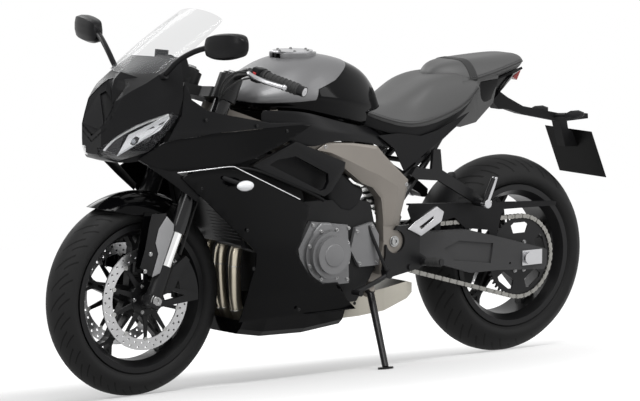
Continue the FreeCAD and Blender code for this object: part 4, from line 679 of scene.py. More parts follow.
def slab(view: Sequence[Spot], side: float, wall: float) -> bpy.types.Object:
    """Extrudes a side view across the machine.

    Args:
        view: Its outline as (ahead, up) points.
        side: Where it starts, to the left of the wheel plane.
        wall: How thick it is.

    Returns:
        The slab.
    """
    return plate([(x, side, z) for x, z in view], (0, wall, 0))


def through(view: Sequence[Spot], low: float = -300, high: float = 300) -> bpy.types.Object:
    """A side view's block between two planes, for cutting."""
    return slab(view, low, high - low)


def cut(item: bpy.types.Object, tool: bpy.types.Object, keep_inside: bool = False) -> bpy.types.Object:
    """Takes another object out of an object, and uses it up.

    Args:
        item: The object.
        tool: The cutter.
        keep_inside: Whether what lies inside the cutter is kept instead.

    Returns:
        The object.
    """
    how = "INTERSECT" if keep_inside else "DIFFERENCE"
    apply_modifier(item, "BOOLEAN", operation=how, object=tool, solver="EXACT")
    bpy.data.objects.remove(tool)
    return item


def trimmed(item: bpy.types.Object, tool: bpy.types.Object) -> bpy.types.Object:
    """Keeps only what lies inside another object, which is used up."""
    return cut(item, tool, keep_inside=True)


def twin(item: bpy.types.Object) -> bpy.types.Object:
    """Adds the mirror image on the other side of the wheel plane."""
    apply_modifier(item, "MIRROR", use_axis=(False, True, False), use_mirror_merge=False)
    return item


def copied(item: bpy.types.Object) -> bpy.types.Object:
    """A copy with its own mesh.

    Args:
        item: The object.

    Returns:
        The copy.
    """
    copy = item.copy()
    copy.data = item.data.copy()
    bpy.context.scene.collection.objects.link(copy)
    return copy


def ball(centre: Point, radius: float, segments: int) -> bpy.types.Object:
    """A sphere with half as many rings as segments.

    Args:
        centre: Its centre, in millimetres.
        radius: Its radius.
        segments: Facets round it.

    Returns:
        The sphere.
    """
    bpy.ops.mesh.primitive_uv_sphere_add(segments=segments, ring_count=segments // 2, radius=radius * MM,
                                         location=Vector(centre) * MM)
    return settle(bpy.context.active_object)


def between(one: Sequence[float], two: Sequence[float], share: float) -> tuple[float, ...]:
    """A point part of the way from one to another."""
    return tuple(a + (b - a) * share for a, b in zip(one, two))


def rod(start: Point, end: Point, radius: float, tip: float | None = None,
        sides: int = 24) -> bpy.types.Object:
    """A round bar or cone between two points.

    Args:
        start: One end, in millimetres.
        end: The other end.
        radius: Its radius at the start.
        tip: Its radius at the end, where it differs.
        sides: Facets round it.

    Returns:
        The bar.
    """
    deselect()
    one, two = Vector(start) * MM, Vector(end) * MM
    span = two - one
    bpy.ops.mesh.primitive_cone_add(vertices=sides, radius1=radius * MM,
                                    radius2=(radius if tip is None else tip) * MM,
                                    depth=span.length, location=(one + two) / 2,
                                    rotation=span.to_track_quat("Z", "Y").to_euler())
    return settle(bpy.context.active_object)


def pipe(points: Sequence[Point], radius: float, sides: int = 4) -> bpy.types.Object:
    """A smooth bent pipe along a drawn line.

    Args:
        points: Control points of its line, in millimetres.
        radius: Its radius.
        sides: Quarter facets of its section.

    Returns:
        The pipe, as a mesh.
    """
    curve = bpy.data.curves.new("pipe", "CURVE")
    curve.dimensions = "3D"
    curve.bevel_depth = radius * MM
    curve.bevel_resolution = sides
    curve.use_fill_caps = True
    line = curve.splines.new("NURBS")
    line.points.add(len(points) - 1)
    for spot, point in zip(line.points, points):
        spot.co = (*(Vector(point) * MM), 1)
    line.order_u = 3
    line.use_endpoint_u = True
    line.resolution_u = 8
    item = bpy.data.objects.new("pipe", curve)
    bpy.context.scene.collection.objects.link(item)
    only(item)
    bpy.ops.object.convert(target="MESH")
    return bpy.context.active_object


def ringed(item: bpy.types.Object, centre: Point, count: int) -> bpy.types.Object:
    """Repeats an object round an axle.

    Args:
        item: The first one.
        centre: A point of the axle, in millimetres.
        count: How many there are in all.

    Returns:
        All of them, joined.
    """
    pivot = Matrix.Translation(Vector(centre) * MM)
    group = [item]
    for number in range(1, count):
        copy = copied(item)
        copy.matrix_world = pivot @ Matrix.Rotation(math.tau * number / count, 4, "Y") @ pivot.inverted()
        group.append(copy)
    return settle(joined(group))


def bolt(start: Point, way: Point, size: float = 6, head: float = 5) -> bpy.types.Object:
    """A flanged socket bolt.

    Args:
        start: Where its flange sits, in millimetres.
        way: The direction out of the surface.
        size: Radius of its head.
        head: Height of its head.

    Returns:
        The bolt.
    """
    base, out = Vector(start), Vector(way).normalized()
    flange = rod(base, base + out * head * 0.35, size * 1.35, sides=20)
    cap = rod(base + out * head * 0.35, base + out * head, size, sides=20)
    well = rod(base + out * head * 0.5, base + out * head * 1.2, size * 0.5, sides=6)
    return softened(joined([flange, cut(cap, well)]), 0.5, 1)


def loop(half: Sequence[Spot], ahead: float) -> list[Point]:
    """A closed section at one station from the (out, up) points of its left half.

    Args:
        half: From the top in the wheel plane to the bottom in it.
        ahead: Where the station is.

    Returns:
        Points all the way round.
    """
    left = [(ahead, y, z) for y, z in half]
    right = [(ahead, -y, z) for y, z in reversed(half) if y > 0]
    return left + right


@dataclass
class SubAssembly:
    """What the machine's sub-assemblies share: finishing, naming and leaning of pieces."""

    stance: Stance
    frame: dict

    def dress(self, node: str, finish: AnyFinish) -> None:
        """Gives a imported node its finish.

        Args:
            node: The node's name.
            finish: The finish.
        """
        item = self.frame["nodes"][node]
        item.data.materials.clear()
        item.data.materials.append(finish.material())

    def place(self, item: bpy.types.Object, name: str, body: Body, finish: AnyFinish,
              stands_for: Sequence[str] = ()) -> None:
        """Leans a finished upright piece over, names and dresses it, and puts it on its body.

        Args:
            item: The piece, in the working frame.
            name: Its name.
            body: The body that it rides on.
            finish: Its finish.
            stands_for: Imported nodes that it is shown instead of.
        """
        item.matrix_world = self.stance.lean @ item.matrix_world
        settle(item)
        item.name = name
        item.data.name = name
        item.data.materials.clear()
        item.data.materials.append(finish.material())
        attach(item, body.value)
        if stands_for:
            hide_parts(*stands_for)
        LOG.info("%s on %s, %d faces", name, body.value, len(item.data.polygons))

    def pair(self, item: bpy.types.Object, angle: float, name: str, body: Body, finish: AnyFinish,
             stands_for: Sequence[str] = ()) -> None:
        """Smooths a left-hand piece, adds its mirror image and places both as one.

        Args:
            item: The left one.
            angle: Edges sharper than this many degrees stay crisp.
            name: The piece's name.
            body: The body that it rides on.
            finish: Its finish.
            stands_for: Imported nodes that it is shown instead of.
        """
        self.place(twin(smooth(item, angle)), name, body, finish, stands_for)

    def build(self) -> None:
        """Builds the sub-assembly's pieces."""
        raise NotImplementedError


@dataclass(frozen=True)
class Disc:
    """Sizes of a brake disc: its middle from the wheel plane, outer radius, the width of its band,
    rows of holes measured in from the edge, and its carrier's reach."""

    middle: float
    radius: float
    band: float
    rows: Spot
    reach: float


@dataclass
class Wheels(SubAssembly):
    """Tyres with their tread, and the drilled brake discs on dark carriers."""

    front: tuple[float, float, float, float] = (FRONT_RADIUS, 120, 63, 52)
    rear: tuple[float, float, float, float] = (REAR_RADIUS, 180, 100, 78)
    bead: float = 217
    flange: float = 226
    turns: int = 120
    front_disc: Disc = Disc(66.7, 155, 34, (9, 23), 121)
    rear_disc: Disc = Disc(-92, 110, 34, (8, 20), 76)
    band_half: float = 2.3
    holes: int = 32
    hole_radius: float = 3.6
    arms: int = 10
    carrier_radius: float = 52
    carrier_bore: float = 30

    def build(self) -> None:
        """Builds both tyres and all three discs."""
        front, rear = (WHEELBASE, 0, FRONT_RADIUS), (0, 0, REAR_RADIUS)
        self._tyre("front_tyre_tread", Body.FRONT_WHEEL, front, self.front, 30, "front_tyre")
        self._tyre("rear_tyre_tread", Body.REAR_WHEEL, rear, self.rear, 26, "rear_tyre")
        for item, name, finish, nodes in (
            (self._disc(front, self.front_disc), "front_disc_bands", DISC_STEEL, ("front_discs",)),
            (self._carrier(front, self.front_disc), "front_disc_carriers", BLACK_METAL, ()),
            (self._buttons(front, self.front_disc), "front_disc_buttons", PLATED_STEEL, ()),
        ):
            self.place(twin(item), name, Body.FRONT_WHEEL, finish, nodes)
        self.place(self._disc(rear, self.rear_disc), "rear_disc_band", Body.REAR_WHEEL, DISC_STEEL,
                   ("rear_disc",))
        self.place(self._carrier(rear, self.rear_disc), "rear_disc_carrier", Body.REAR_WHEEL, BLACK_METAL)

    def _tyre(self, name: str, body: Body, axle: Point, sizes: tuple[float, float, float, float],
              repeats: int, node: str) -> None:
        """Spins a tyre's section and gives it its tread.

        Args:
            name: The piece's name.
            body: The wheel it rides on.
            axle: The wheel's centre.
            sizes: Outer radius, width, crown radius and half the rim's width.
            repeats: Tread blocks round the tyre.
            node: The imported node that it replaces.
        """
        radius, width, crown, rim = sizes
        side = width / 2
        outs = [side * share for share in (0.12, 0.3, 0.5, 0.7, 0.86, 1.0)]
        half = [(a, radius - crown + math.sqrt(crown ** 2 - a ** 2)) for a in outs]
        widest = half[-1][1]
        half += [(side - 0.5, widest - 9), (side - 4, widest - 18), (rim, self.flange + 6),
                 (rim - 6, self.flange + 3), (rim - 7.5, self.flange), (rim - 7.5, self.bead),
                 (rim - 16, self.bead)]
        section = [(-a, r) for a, r in reversed(half)] + half
        section.append(section[0])
        across = [max(-1.0, min(1.0, a / side)) if r > widest - 20 else math.copysign(1.4, a)
                  for a, r in section]
        rows = []
        for step in range(self.turns + 1):
            turn = math.tau * step / self.turns
            rows.append([(axle[0] + r * math.sin(turn), a, axle[2] + r * math.cos(turn)) for a, r in section])
        item = sheet(rows)
        last = len(section) - 1
        for mark in item.data.uv_layers.active.data:
            mark.uv = (across[round(mark.uv.x * last)], mark.uv.y)
        welded(item)
        rubber = TreadFinish(f"{name}_rubber", "tyre", repeats=repeats)
        self.place(smooth(item, 50), name, body, rubber, (node,))

    def _bar(self, spot: Point, out: float, radius: float, sides: int) -> bpy.types.Object:
        """A round bar across a disc, as long each way as said, for cutting."""
        x, y, z = spot
        return rod((x, y - out, z), (x, y + out, z), radius, sides=sides)

    def _disc(self, axle: Point, disc: Disc) -> bpy.types.Object:
        """A braking band with rows of round holes.

        Args:
            axle: The wheel's centre.
            disc: Its sizes.

        Returns:
            The band.
        """
        x, _, z = axle
        middle = (x, disc.middle, z)
        ring = self._bar(middle, self.band_half, disc.radius - 0.2, 144)
        cut(ring, self._bar(middle, 9, disc.radius - disc.band, 144))
        for number, row in enumerate(disc.rows):
            turn, far = math.pi / self.holes * number, disc.radius - row
            spot = (x + far * math.sin(turn), disc.middle, z + far * math.cos(turn))
            cut(ring, ringed(self._bar(spot, 9, self.hole_radius, 12), axle, self.holes))
        return smooth(ring, 30)

    def _carrier(self, axle: Point, disc: Disc) -> bpy.types.Object:
        """The dark star between a hub and its braking band.

        Args:
            axle: The wheel's centre.
            disc: The disc's sizes.

        Returns:
            The star.
        """
        x, _, z = axle
        low, high = disc.middle - 2, disc.middle + 2.6
        core = rod((x, low, z), (x, high, z), self.carrier_radius, sides=64)
        cut(core, self._bar((x, disc.middle, z), 9, self.carrier_bore, 48))
        foot, tip = z + self.carrier_radius - 5, z + disc.reach + 1
        arm = through([(x - 9, foot), (x + 9, foot), (x + 5, tip), (x - 5, tip)], low, high)
        return softened(joined([core, ringed(arm, axle, self.arms)]), 0.8, 1)

    def _buttons(self, axle: Point, disc: Disc) -> bpy.types.Object:
        """The floating pins that join a band to its carrier.

        Args:
            axle: The wheel's centre.
            disc: The disc's sizes.

        Returns:
            The pins.
        """
        x, z, middle = axle[0], axle[2] + disc.reach, disc.middle
        pin = rod((x, middle - 4, z), (x, middle + 4.5, z), 6.5, sides=20)
        well = rod((x, middle + 3, z), (x, middle + 6, z), 3.5, sides=16)
        return ringed(cut(pin, well), axle, self.arms)


@dataclass
class DriveChain(SubAssembly):
    """The drive chain, link by link."""

    rear: Spot = (0, REAR_RADIUS)
    ahead: Spot = (640, 404)
    pitch: float = 15.875
    rear_teeth: int = 51
    front_teeth: int = 16
    line: float = 103

    def build(self) -> None:
        """Builds the links all round the loop."""
        spots = self._spots()
        made = []
        patterns = (self._link(6.0, 1.7), self._link(4.1, 1.6))
        for number, here in enumerate(spots):
            there = spots[(number + 1) % len(spots)]
            heading = math.atan2(there[1] - here[1], there[0] - here[0])
            copy = copied(patterns[number % 2])
            copy.matrix_world = (Matrix.Translation(Vector((here[0], self.line, here[1])) * MM)
                                 @ Matrix.Rotation(-heading, 4, "Y"))
            made.append(copy)
        for item in patterns:
            bpy.data.objects.remove(item)
        self.place(smooth(settle(joined(made)), 30), "chain_links", Body.CHASSIS, CHAIN_STEEL, ("chain",))

    def _spots(self) -> list[Spot]:
        """Pin places round the loop.

        Returns:
            Points (ahead, up), one pitch apart.
        """
        teeth = (self.rear_teeth, self.front_teeth)
        big, small = (self.pitch / (2 * math.sin(math.pi / number)) for number in teeth)
        dx, dz = self.ahead[0] - self.rear[0], self.ahead[1] - self.rear[1]
        span, lean = math.hypot(dx, dz), math.atan2(dz, dx)
        wrap = math.acos((big - small) / span)
        run = math.sqrt(span ** 2 - (big - small) ** 2)
        nose = 2 * wrap * small
        total = 2 * run + nose + 2 * (math.pi - wrap) * big
        top = [self._at(self.rear, big, lean + wrap), self._at(self.ahead, small, lean + wrap)]
        low = [self._at(self.ahead, small, lean - wrap), self._at(self.rear, big, lean - wrap)]
        count = round(total / self.pitch / 2) * 2
        spots = []
        for number in range(count):
            gone = total * number / count
            if gone < run:
                spots.append(between(*top, gone / run))
            elif gone < run + nose:
                spots.append(self._at(self.ahead, small, lean + wrap - (gone - run) / small))
            elif gone < 2 * run + nose:
                spots.append(between(*low, (gone - run - nose) / run))
            else:
                spots.append(self._at(self.rear, big, lean - wrap - (gone - 2 * run - nose) / big))
        return spots

    def _at(self, centre: Spot, radius: float, angle: float) -> Spot:
        """A point on a circle."""
        return centre[0] + radius * math.cos(angle), centre[1] + radius * math.sin(angle)

    def _link(self, out: float, wall: float) -> bpy.types.Object:
        """One link, along X from its first pin at the origin.

        Args:
            out: Inner face of its side plates from the chain line.
            wall: Thickness of a side plate.

        Returns:
            The link.
        """
        outline = []
        for centre, first, waist in ((self.pitch, -90, 5.6), (0, 90, -5.6)):
            outline += [self._at((centre, 0), 7, math.radians(first + 45 * step)) for step in range(5)]
            outline.append((self.pitch / 2, waist))
        sides = [slab(outline, y, wall) for y in (out, -out - wall)]
        roller = rod((0, -out, 0), (0, out, 0), 5, sides=10)
        pin = rod((0, -out - wall - 0.8, 0), (0, out + wall + 0.8, 0), 2.6, sides=8)
        return joined([*sides, roller, pin])


@dataclass
class Saddle(SubAssembly):
    """Rider's seat and pillion pad: crowned vinyl covers with a piped seam along the side."""

    rider: tuple[tuple[float, ...], ...] = (
        (652, 846, 116, 822, 806), (632, 842, 128, 812, 794), (600, 836, 135, 800, 778),
        (550, 831, 141, 784, 760), (500, 834, 143, 772, 746), (446, 852, 144, 768, 738),
        (390, 886, 142, 776, 742), (340, 908, 138, 787, 751), (285, 917, 132, 802, 766),
        (240, 917, 127, 820, 788), (208, 913, 122, 842, 812), (184, 907, 117, 862, 840),
        (166, 896, 112, 872, 858),
    )
    pillion: tuple[tuple[float, ...], ...] = (
        (306, 910, 26, 894, 872), (294, 926, 50, 890, 865), (270, 939, 76, 886, 862),
        (236, 947, 98, 886, 860), (192, 951, 110, 890, 864), (140, 954, 113, 901, 872),
        (80, 957, 109, 914, 886), (20, 960, 97, 926, 897), (-22, 959, 84, 933, 905),
        (-42, 954, 68, 936, 912),
    )
    strap: tuple[Spot, ...] = ((202, 800), (176, 800), (188, 1000), (214, 1000))
    infill: tuple[Spot, ...] = (
        (664, 806), (560, 775), (450, 760), (300, 792), (258, 806), (276, 752), (326, 722), (392, 700),
        (470, 690), (566, 700), (650, 742),
    )
    tail: tuple[tuple[float, ...], ...] = (
        (360, 106, 882, 99, 750), (330, 106, 882, 98, 756), (240, 109, 888, 96, 742),
        (170, 107, 892, 88, 752), (90, 102, 898, 76, 808),
    )

    def build(self) -> None:
        """Builds the two seats with their piping and stitches."""
        rider = self._pad(self.rider, dished=True)
        tank = TankShell(self.stance, self.frame).form(2.0)
        for room in (tank, self._pad(self.pillion, 1.5), self._tail_room()):
            cut(rider, room)
        self._finish(rider, "rider_seat_cover", "rider_seat", 0.8)
        self._finish(self._pad(self.pillion), "pillion_seat_cover", "pillion_seat", 0.7)
        strap = trimmed(self._pad(self.pillion, 1.8), through(self.strap, -200, 200))
        self.place(smooth(softened(strap, 1.0), 40), "pillion_strap", Body.CHASSIS, GRIP_RUBBER)
        for name, stations in (("rider_seat_piping", self.rider), ("pillion_seat_piping", self.pillion)):
            line = [(x, out + 0.6, seam + 1.5) for x, _, out, seam, _ in stations[1:-1]]
            self.pair(pipe(line, 2.1), 60, name, Body.CHASSIS, GRIP_RUBBER)
        self._pan()
        self._stitches()

    def _pan(self) -> None:
        """The black base below the rider's seat and the dark infill ahead of the side covers."""
        rows = []
        for share, drop in ((0.0, 3.0), (0.4, 14.0), (1.0, 38.0)):
            rows.append([(x, out - 5 - 7 * share, seam - drop * min(1.0, (x - 130) / 160))
                         for x, _, out, seam, _ in self.rider])
        skirt = softened(thick(facing(sheet(rows), LEFT), 3), 1)
        self.pair(skirt, 40, "seat_bases", Body.CHASSIS, PLAIN_PLASTIC)
        infill = softened(slab(self.infill, 104, 5), 1)
        self.pair(infill, 40, "seat_infills", Body.CHASSIS, PLAIN_PLASTIC)

    def _pad(self, stations: Sequence[Sequence[float]], grow: float = 0.0,
             dished: bool = False) -> bpy.types.Object:
        """A pad's cover from its stations.

        Args:
            stations: Ahead, middle top, seam out, seam up and bottom, from front to back.
            grow: How much larger it is made.
            dished: Whether its middle dips towards the back, over a fuller edge.

        Returns:
            The closed cover.
        """
        rows = []
        for x, top, out, seam, bottom in stations:
            top, out = top + grow, out + grow
            dip = max(2.0, min(10.0, (420 - x) * 0.1)) if dished else 2.0
            full = 4.0 if dished and x < 400 else 1.1
            edge = (top * full + seam) / (full + 1)
            half = [(0, top - dip), (out * 0.3, top - dip * 0.6), (out * 0.62, top - 3), (out * 0.88, edge),
                    (out, seam + 3), (out - 1, seam - 4), (out - 10, (seam + bottom) / 2),
                    (out - 24, bottom - grow), (0, bottom - grow)]
            rows.append(loop(half, x))
        return smooth(rounded(block(rows)), 60)

    def _tail_room(self) -> bpy.types.Object:
        """The space that the tail takes up under the rider's seat."""
        return block([[(x, -wide, top), (x, wide, top), (x, narrow, low), (x, -narrow, low)]
                      for x, wide, top, narrow, low in self.tail])

    def _finish(self, item: bpy.types.Object, name: str, node: str, fill: float) -> None:
        self.place(smooth(item, 60), name, Body.CHASSIS, SEAT_VINYL, (node,))

    def _stitches(self) -> None:
        """A row of stitches above each piped seam."""
        made = []
        for stations in (self.rider, self.pillion):
            line = [Vector((x, out - 2.2, seam + 9)) for x, _, out, seam, _ in stations[1:-1]]
            for one, two in zip(line, line[1:]):
                count = max(1, int((two - one).length / 7))
                for number in range(count):
                    ends = (one.lerp(two, (number + share) / count) for share in (0, 0.6))
                    made.append(rod(*ends, 0.9, sides=6))
        self.place(twin(joined(made)), "seat_stitches", Body.CHASSIS, THREAD)


@dataclass
class TankShell(SubAssembly):
    """Fuel tank: a graphite cover over the glossy lower tank, with the filler's ring of bolts."""

    stations: tuple[tuple[float, ...], ...] = (
        (1056, 902, 70, 92, 872, 84, 838), (1010, 934, 88, 124, 884, 112, 836),
        (950, 968, 104, 150, 888, 138, 832), (880, 992, 116, 164, 884, 150, 822),
        (800, 999, 118, 164, 872, 146, 800), (720, 990, 110, 154, 856, 138, 780),
        (640, 966, 92, 132, 838, 118, 762), (580, 932, 70, 104, 826, 92, 752),
        (528, 866, 40, 66, 806, 58, 752),
    )
    parting: tuple[Spot, ...] = (
        (1100, 1100), (1100, 872), (1040, 866), (913, 867), (862, 870), (846, 902), (768, 924), (690, 962),
        (640, 1000), (600, 1100),
    )
    neck_radius: float = 62

    def build(self) -> None:
        """Builds the cover, the lower tank and the filler ring."""
        x, _, z = FILLER
        cover = trimmed(self.form(1.5), through(self.parting))
        cut(cover, rod((x, 0, z - 40), (x, 0, z + 60), self.neck_radius + 4, sides=64))
        self.place(smooth(softened(cover, 1.2), 40), "tank_cover_skin", Body.CHASSIS, GRAPHITE,
                   ("tank_cover",))
        lower = cut(self.form(), through([(a, b - 1) for a, b in self.parting]))
        self.place(smooth(softened(lower, 1.0), 40), "tank_lower_skin", Body.CHASSIS, GLOSS_BLACK, ("tank",))
        ring = rod((x, 0, z - 24), (x, 0, z + 2.4), self.neck_radius + 10, sides=96)
        cut(ring, rod((x, 0, z - 60), (x, 0, z + 60), self.neck_radius + 0.6, sides=96))
        for end in (-1, 1):
            near, far = x + end * 50, x + end * 90
            cut(ring, through([(near, z - 60), (far, z - 60), (far, z + 60), (near, z + 60)], -26, 26))
        self.place(smooth(softened(ring, 1.0), 40), "filler_ring", Body.CHASSIS, GRAPHITE)
        neck = rod((x, 0, z - 38), (x, 0, z - 0.2), self.neck_radius, sides=64)
        cut(neck, rod((x, 0, z - 60), (x, 0, z + 40), 22, sides=48))
        self.place(neck, "filler_neck", Body.CHASSIS, GLOSS_BLACK)

    def form(self, grow: float = 0.0) -> bpy.types.Object:
        """The tank's whole outside.

        Args:
            grow: How much larger it is made.

        Returns:
            The closed form.
        """
        rows = []
        for x, top, shoulder, wide, level, foot, bottom in self.stations:
            rise = top + grow + 2
            half = [(0, rise), (shoulder * 0.55, rise - 4), (shoulder + grow, rise - 0.2 * (top - level)),
                    (wide + grow + 3, level + 6), (wide + grow, level - 10),
                    ((wide + foot) / 2 + grow, (level + bottom) / 2), (foot + grow, bottom - grow),
                    (0, bottom - grow)]
            rows.append(loop(half, x))
        return smooth(rounded(block(rows)), 50)


@dataclass
class Nose(SubAssembly):
    """Nose cowl with its intake and lamp openings, lamp covers and what shines inside them."""

    stations: tuple[tuple[float, tuple[Spot, ...]], ...] = (
        (1574, ((0, 864), (40, 866), (50, 826), (50, 780), (48, 756), (40, 742), (0, 738))),
        (1558, ((0, 888), (56, 880), (66, 832), (63, 788), (63, 742), (56, 728), (0, 724))),
        (1540, ((0, 908), (68, 894), (80, 840), (76, 797), (78, 730), (70, 716), (0, 714))),
        (1492, ((0, 956), (98, 934), (112, 856), (114, 833), (112, 737), (102, 716), (0, 708))),
        (1457, ((0, 972), (112, 948), (128, 872), (130, 846), (132, 752), (122, 728), (0, 712))),
        (1400, ((0, 996), (120, 984), (149, 900), (152, 862), (155, 808), (146, 786), (0, 776))),
        (1340, ((0, 1016), (127, 1010), (160, 926), (168, 866), (170, 812), (160, 796), (0, 790))),
    )
    mouth: tuple[Spot, ...] = ((0, 814), (52, 908), (44, 918), (0, 884), (-44, 918), (-52, 908))
    lamp_view: tuple[Spot, ...] = (
        (1580, 752), (1563, 776), (1491, 833), (1394, 865), (1364, 853), (1389, 819), (1457, 751),
        (1532, 722), (1580, 738),
    )
    rear_view: tuple[Spot, ...] = (
        (1300, 1100), (1336, 1020), (1349, 940), (1356, 900), (1374, 852), (1397, 818), (1440, 770),
        (1440, 700), (1300, 700),
    )

    def build(self) -> None:
        """Builds the cowl, the lamp covers, the lamp units and the intake's mouth."""
        shell = cut(self._shell(3.4), through(self.rear_view))
        for low, high in ((30, 300), (-300, -30)):
            cut(shell, through(self.lamp_view, low, high))
        cut(shell, self._valley(0))
        lining = cut(trimmed(self._form(), self._valley(3.2)), self._valley(0))
        cut(lining, plate([(1440, y, z) for y, z in self.mouth], (180, 0, 0)))
        skin = softened(joined([shell, lining]), 1.4)
        self.place(smooth(skin, 22), "nose_cowl_skin", Body.CHASSIS, SATIN_BLACK, ("nose_cowl",))
        self._lid()
        cover = trimmed(self._shell(2.4), through(self.lamp_view, 31))
        cut(cover, through(self.rear_view))
        self.place(smooth(twin(cover), 35), "headlight_covers", Body.CHASSIS, LAMP_COVER, ("headlights",))
        self._lamps()
        back = cut(trimmed(self._form(), self._valley(13)), self._valley(10))
        self.place(smooth(back, 22), "intake_back", Body.CHASSIS, PLAIN_PLASTIC)

    def _valley(self, grow: float) -> bpy.types.Object:
        """The V-shaped valley down the middle of the nose.

        Args:
            grow: How much larger it is made.

        Returns:
            The block that it takes out.
        """
        points = [(1582, 0, 796 - 2 * grow), (1536 - grow, 0, 806 - grow)]
        for side in (1, -1):
            points += [(1582, side * (66 + grow), 832 - grow), (1582, side * (92 + grow), 896),
                       (1582, side * (112 + grow), 966 + grow), (1494 - grow, side * (5 + grow), 884),
                       (1472 - grow, side * (62 + grow), 966 + grow)]
        valley = plate(points, (0.5, 0, 0.1))
        with editing(valley):
            bpy.ops.mesh.convex_hull()
            bpy.ops.mesh.normals_make_consistent(inside=False)
        return valley

    def _lid(self) -> None:
        """The pointed panel over the intake, ahead of the screen."""
        rows = [[(1494, -3, 883), (1500, 0, 881), (1494, 3, 883)],
                [(1484, -28, 898), (1502, 0, 910), (1484, 28, 898)],
                [(1476, -50, 914), (1500, 0, 934), (1476, 50, 914)],
                [(1464, -62, 940), (1492, 0, 958), (1464, 62, 940)],
                [(1446, -70, 962), (1470, 0, 978), (1446, 70, 962)]]
        lid = facing(sheet(rows), (1, 0, 0.3))
        creased(lid, lambda one, two: 0.9 if abs(one.y) < 1 and abs(two.y) < 1 else 0.6)
        lid = softened(thick(rounded(lid, 2), 4), 1.0)
        self.place(smooth(lid, 25), "intake_lid", Body.CHASSIS, SATIN_BLACK)

    def _shell(self, wall: float) -> bpy.types.Object:
        """The nose's skin, open inside and as thick as said."""
        return smooth(thick(self._cage(), wall), 35)

    def _form(self) -> bpy.types.Object:
        """The nose as a solid block."""
        return welded(self._cage(), fill=True)

    def _cage(self) -> bpy.types.Object:
        """The nose's outer surface, closed at its tip, with a crisp ridge along each line of its sections.

        Returns:
            The surface.
        """
        item = sheet([loop(half, x) for x, half in self.stations], around=True)
        with editing(item):
            bpy.ops.mesh.select_all(action="DESELECT")
        tip = self.stations[0][0]
        for edge in item.data.edges:
            edge.select = all(item.data.vertices[number].co.x > (tip - 0.1) * MM for number in edge.vertices)
        bpy.ops.object.mode_set(mode="EDIT")
        bpy.ops.mesh.select_mode(type="EDGE")
        bpy.ops.mesh.edge_face_add()
        bpy.ops.mesh.select_all(action="SELECT")
        bpy.ops.mesh.normals_make_consistent(inside=False)
        bpy.ops.object.mode_set(mode="OBJECT")

        def held(one: Vector, two: Vector) -> float:
            """Keeps the ridges along the nose and the rim of its tip crisp.

            Args:
                one: An edge's first end.
                two: Its other end.

            Returns:
                The edge's sharpness.
            """
            along = abs(one.x - two.x) > 5
            centre = abs(one.y) < 1 and abs(two.y) < 1
            return 0.3 if along and centre else 1.0 if along or one.x > tip - 1 else 0.0

        return rounded(creased(item, held), 2)

    def _lamps(self) -> None:
        """Reflector, its dark facets, the projector and the light strip behind each cover."""
        frame = [(1533, 72, 736), (1507, 95, 800), (1404, 143, 854), (1396, 148, 848), (1424, 140, 812)]
        reflector = softened(plate(frame, (-7, -5, 1)), 1.2)
        housing = softened(plate([(x - 9, y - 7, z + 1) for x, y, z in frame], (-22, -16, 3)), 2)
        self.pair(housing, 30, "headlight_housings", Body.CHASSIS, LAMP_DARK, ("lamp_bowls",))
        facets = []
        for shape in (((1500, 92, 772), (1490, 99, 798), (1476, 107, 790), (1486, 100, 764)),
                      ((1470, 110, 806), (1440, 126, 824), (1430, 130, 816), (1462, 113, 790)),
                      ((1466, 108, 776), (1452, 117, 792), (1444, 120, 786), (1456, 112, 772)),
                      ((1426, 133, 830), (1410, 140, 838), (1412, 138, 826), (1424, 132, 820))):
            facets.append(plate([(x + 1, y + 3, z) for x, y, z in shape], (-3, -3, 0)))
        wedge = plate([(1560, 50, 756), (1540, 64, 786), (1514, 86, 803), (1532, 71, 738)], (-6, -5, 0))
        rim = pipe([(1533, 72, 737), (1424, 141, 813), (1398, 148, 848)], 2.6, 2)
        base, way = Vector((1492, 92, 780)), Vector((0.86, 0.5, -0.05)).normalized()
        bezel = rod(base - way * 14, base, 17, 15, sides=40)
        lens = ball((0, 0, 0), 13, 32)
        with editing(lens):
            bpy.ops.transform.resize(value=(1, 1, 0.6))
        lens.matrix_world = Matrix.Translation(base * MM) @ way.to_track_quat("Z", "Y").to_matrix().to_4x4()
        strip = pipe([(1562, 48, 752), (1546, 62, 780), (1520, 82, 802), (1490, 103, 822), (1440, 127, 845),
                      (1398, 146, 858)], 4.2)
        for piece, name, finish in ((joined([reflector, rim]), "headlight_reflectors", REFLECTOR),
                                    (joined([*facets, wedge, bezel]), "headlight_facets", LAMP_DARK),
                                    (settle(lens), "headlight_lenses", LENS_GLASS),
                                    (strip, "headlight_strips", LIGHT_STRIP)):
            self.pair(piece, 40, name, Body.CHASSIS, finish)


@dataclass
class Screen(SubAssembly):
    """Smoked windscreen: one curved sheet between arcs."""

    arcs: tuple[tuple[Point, Point], ...] = (
        ((1411, 116, 982), (1470, 0, 976)), ((1370, 121, 1001), (1430, 0, 1012)),
        ((1326, 124, 1020), (1386, 0, 1046)), ((1250, 124, 1072), (1284, 0, 1110)),
        ((1176, 118, 1122), (1196, 0, 1152)),
    )

    def build(self) -> None:
        """Builds the screen."""
        rows = []
        for side, crest in self.arcs:
            row = []
            for step in range(-6, 7):
                angle = math.radians(90 * step / 6)
                ahead, _, up = between(side, crest, math.cos(angle) ** 1.1)
                row.append((ahead, side[1] * math.sin(angle), up))
            rows.append(row)
        glass = facing(sheet(rows), (0.5, 0, 0.8))
        glass = thick(rounded(glass, 2), 2.8)
        self.place(smooth(glass, 50), "windscreen_sheet", Body.CHASSIS, SCREEN, ("windscreen",))


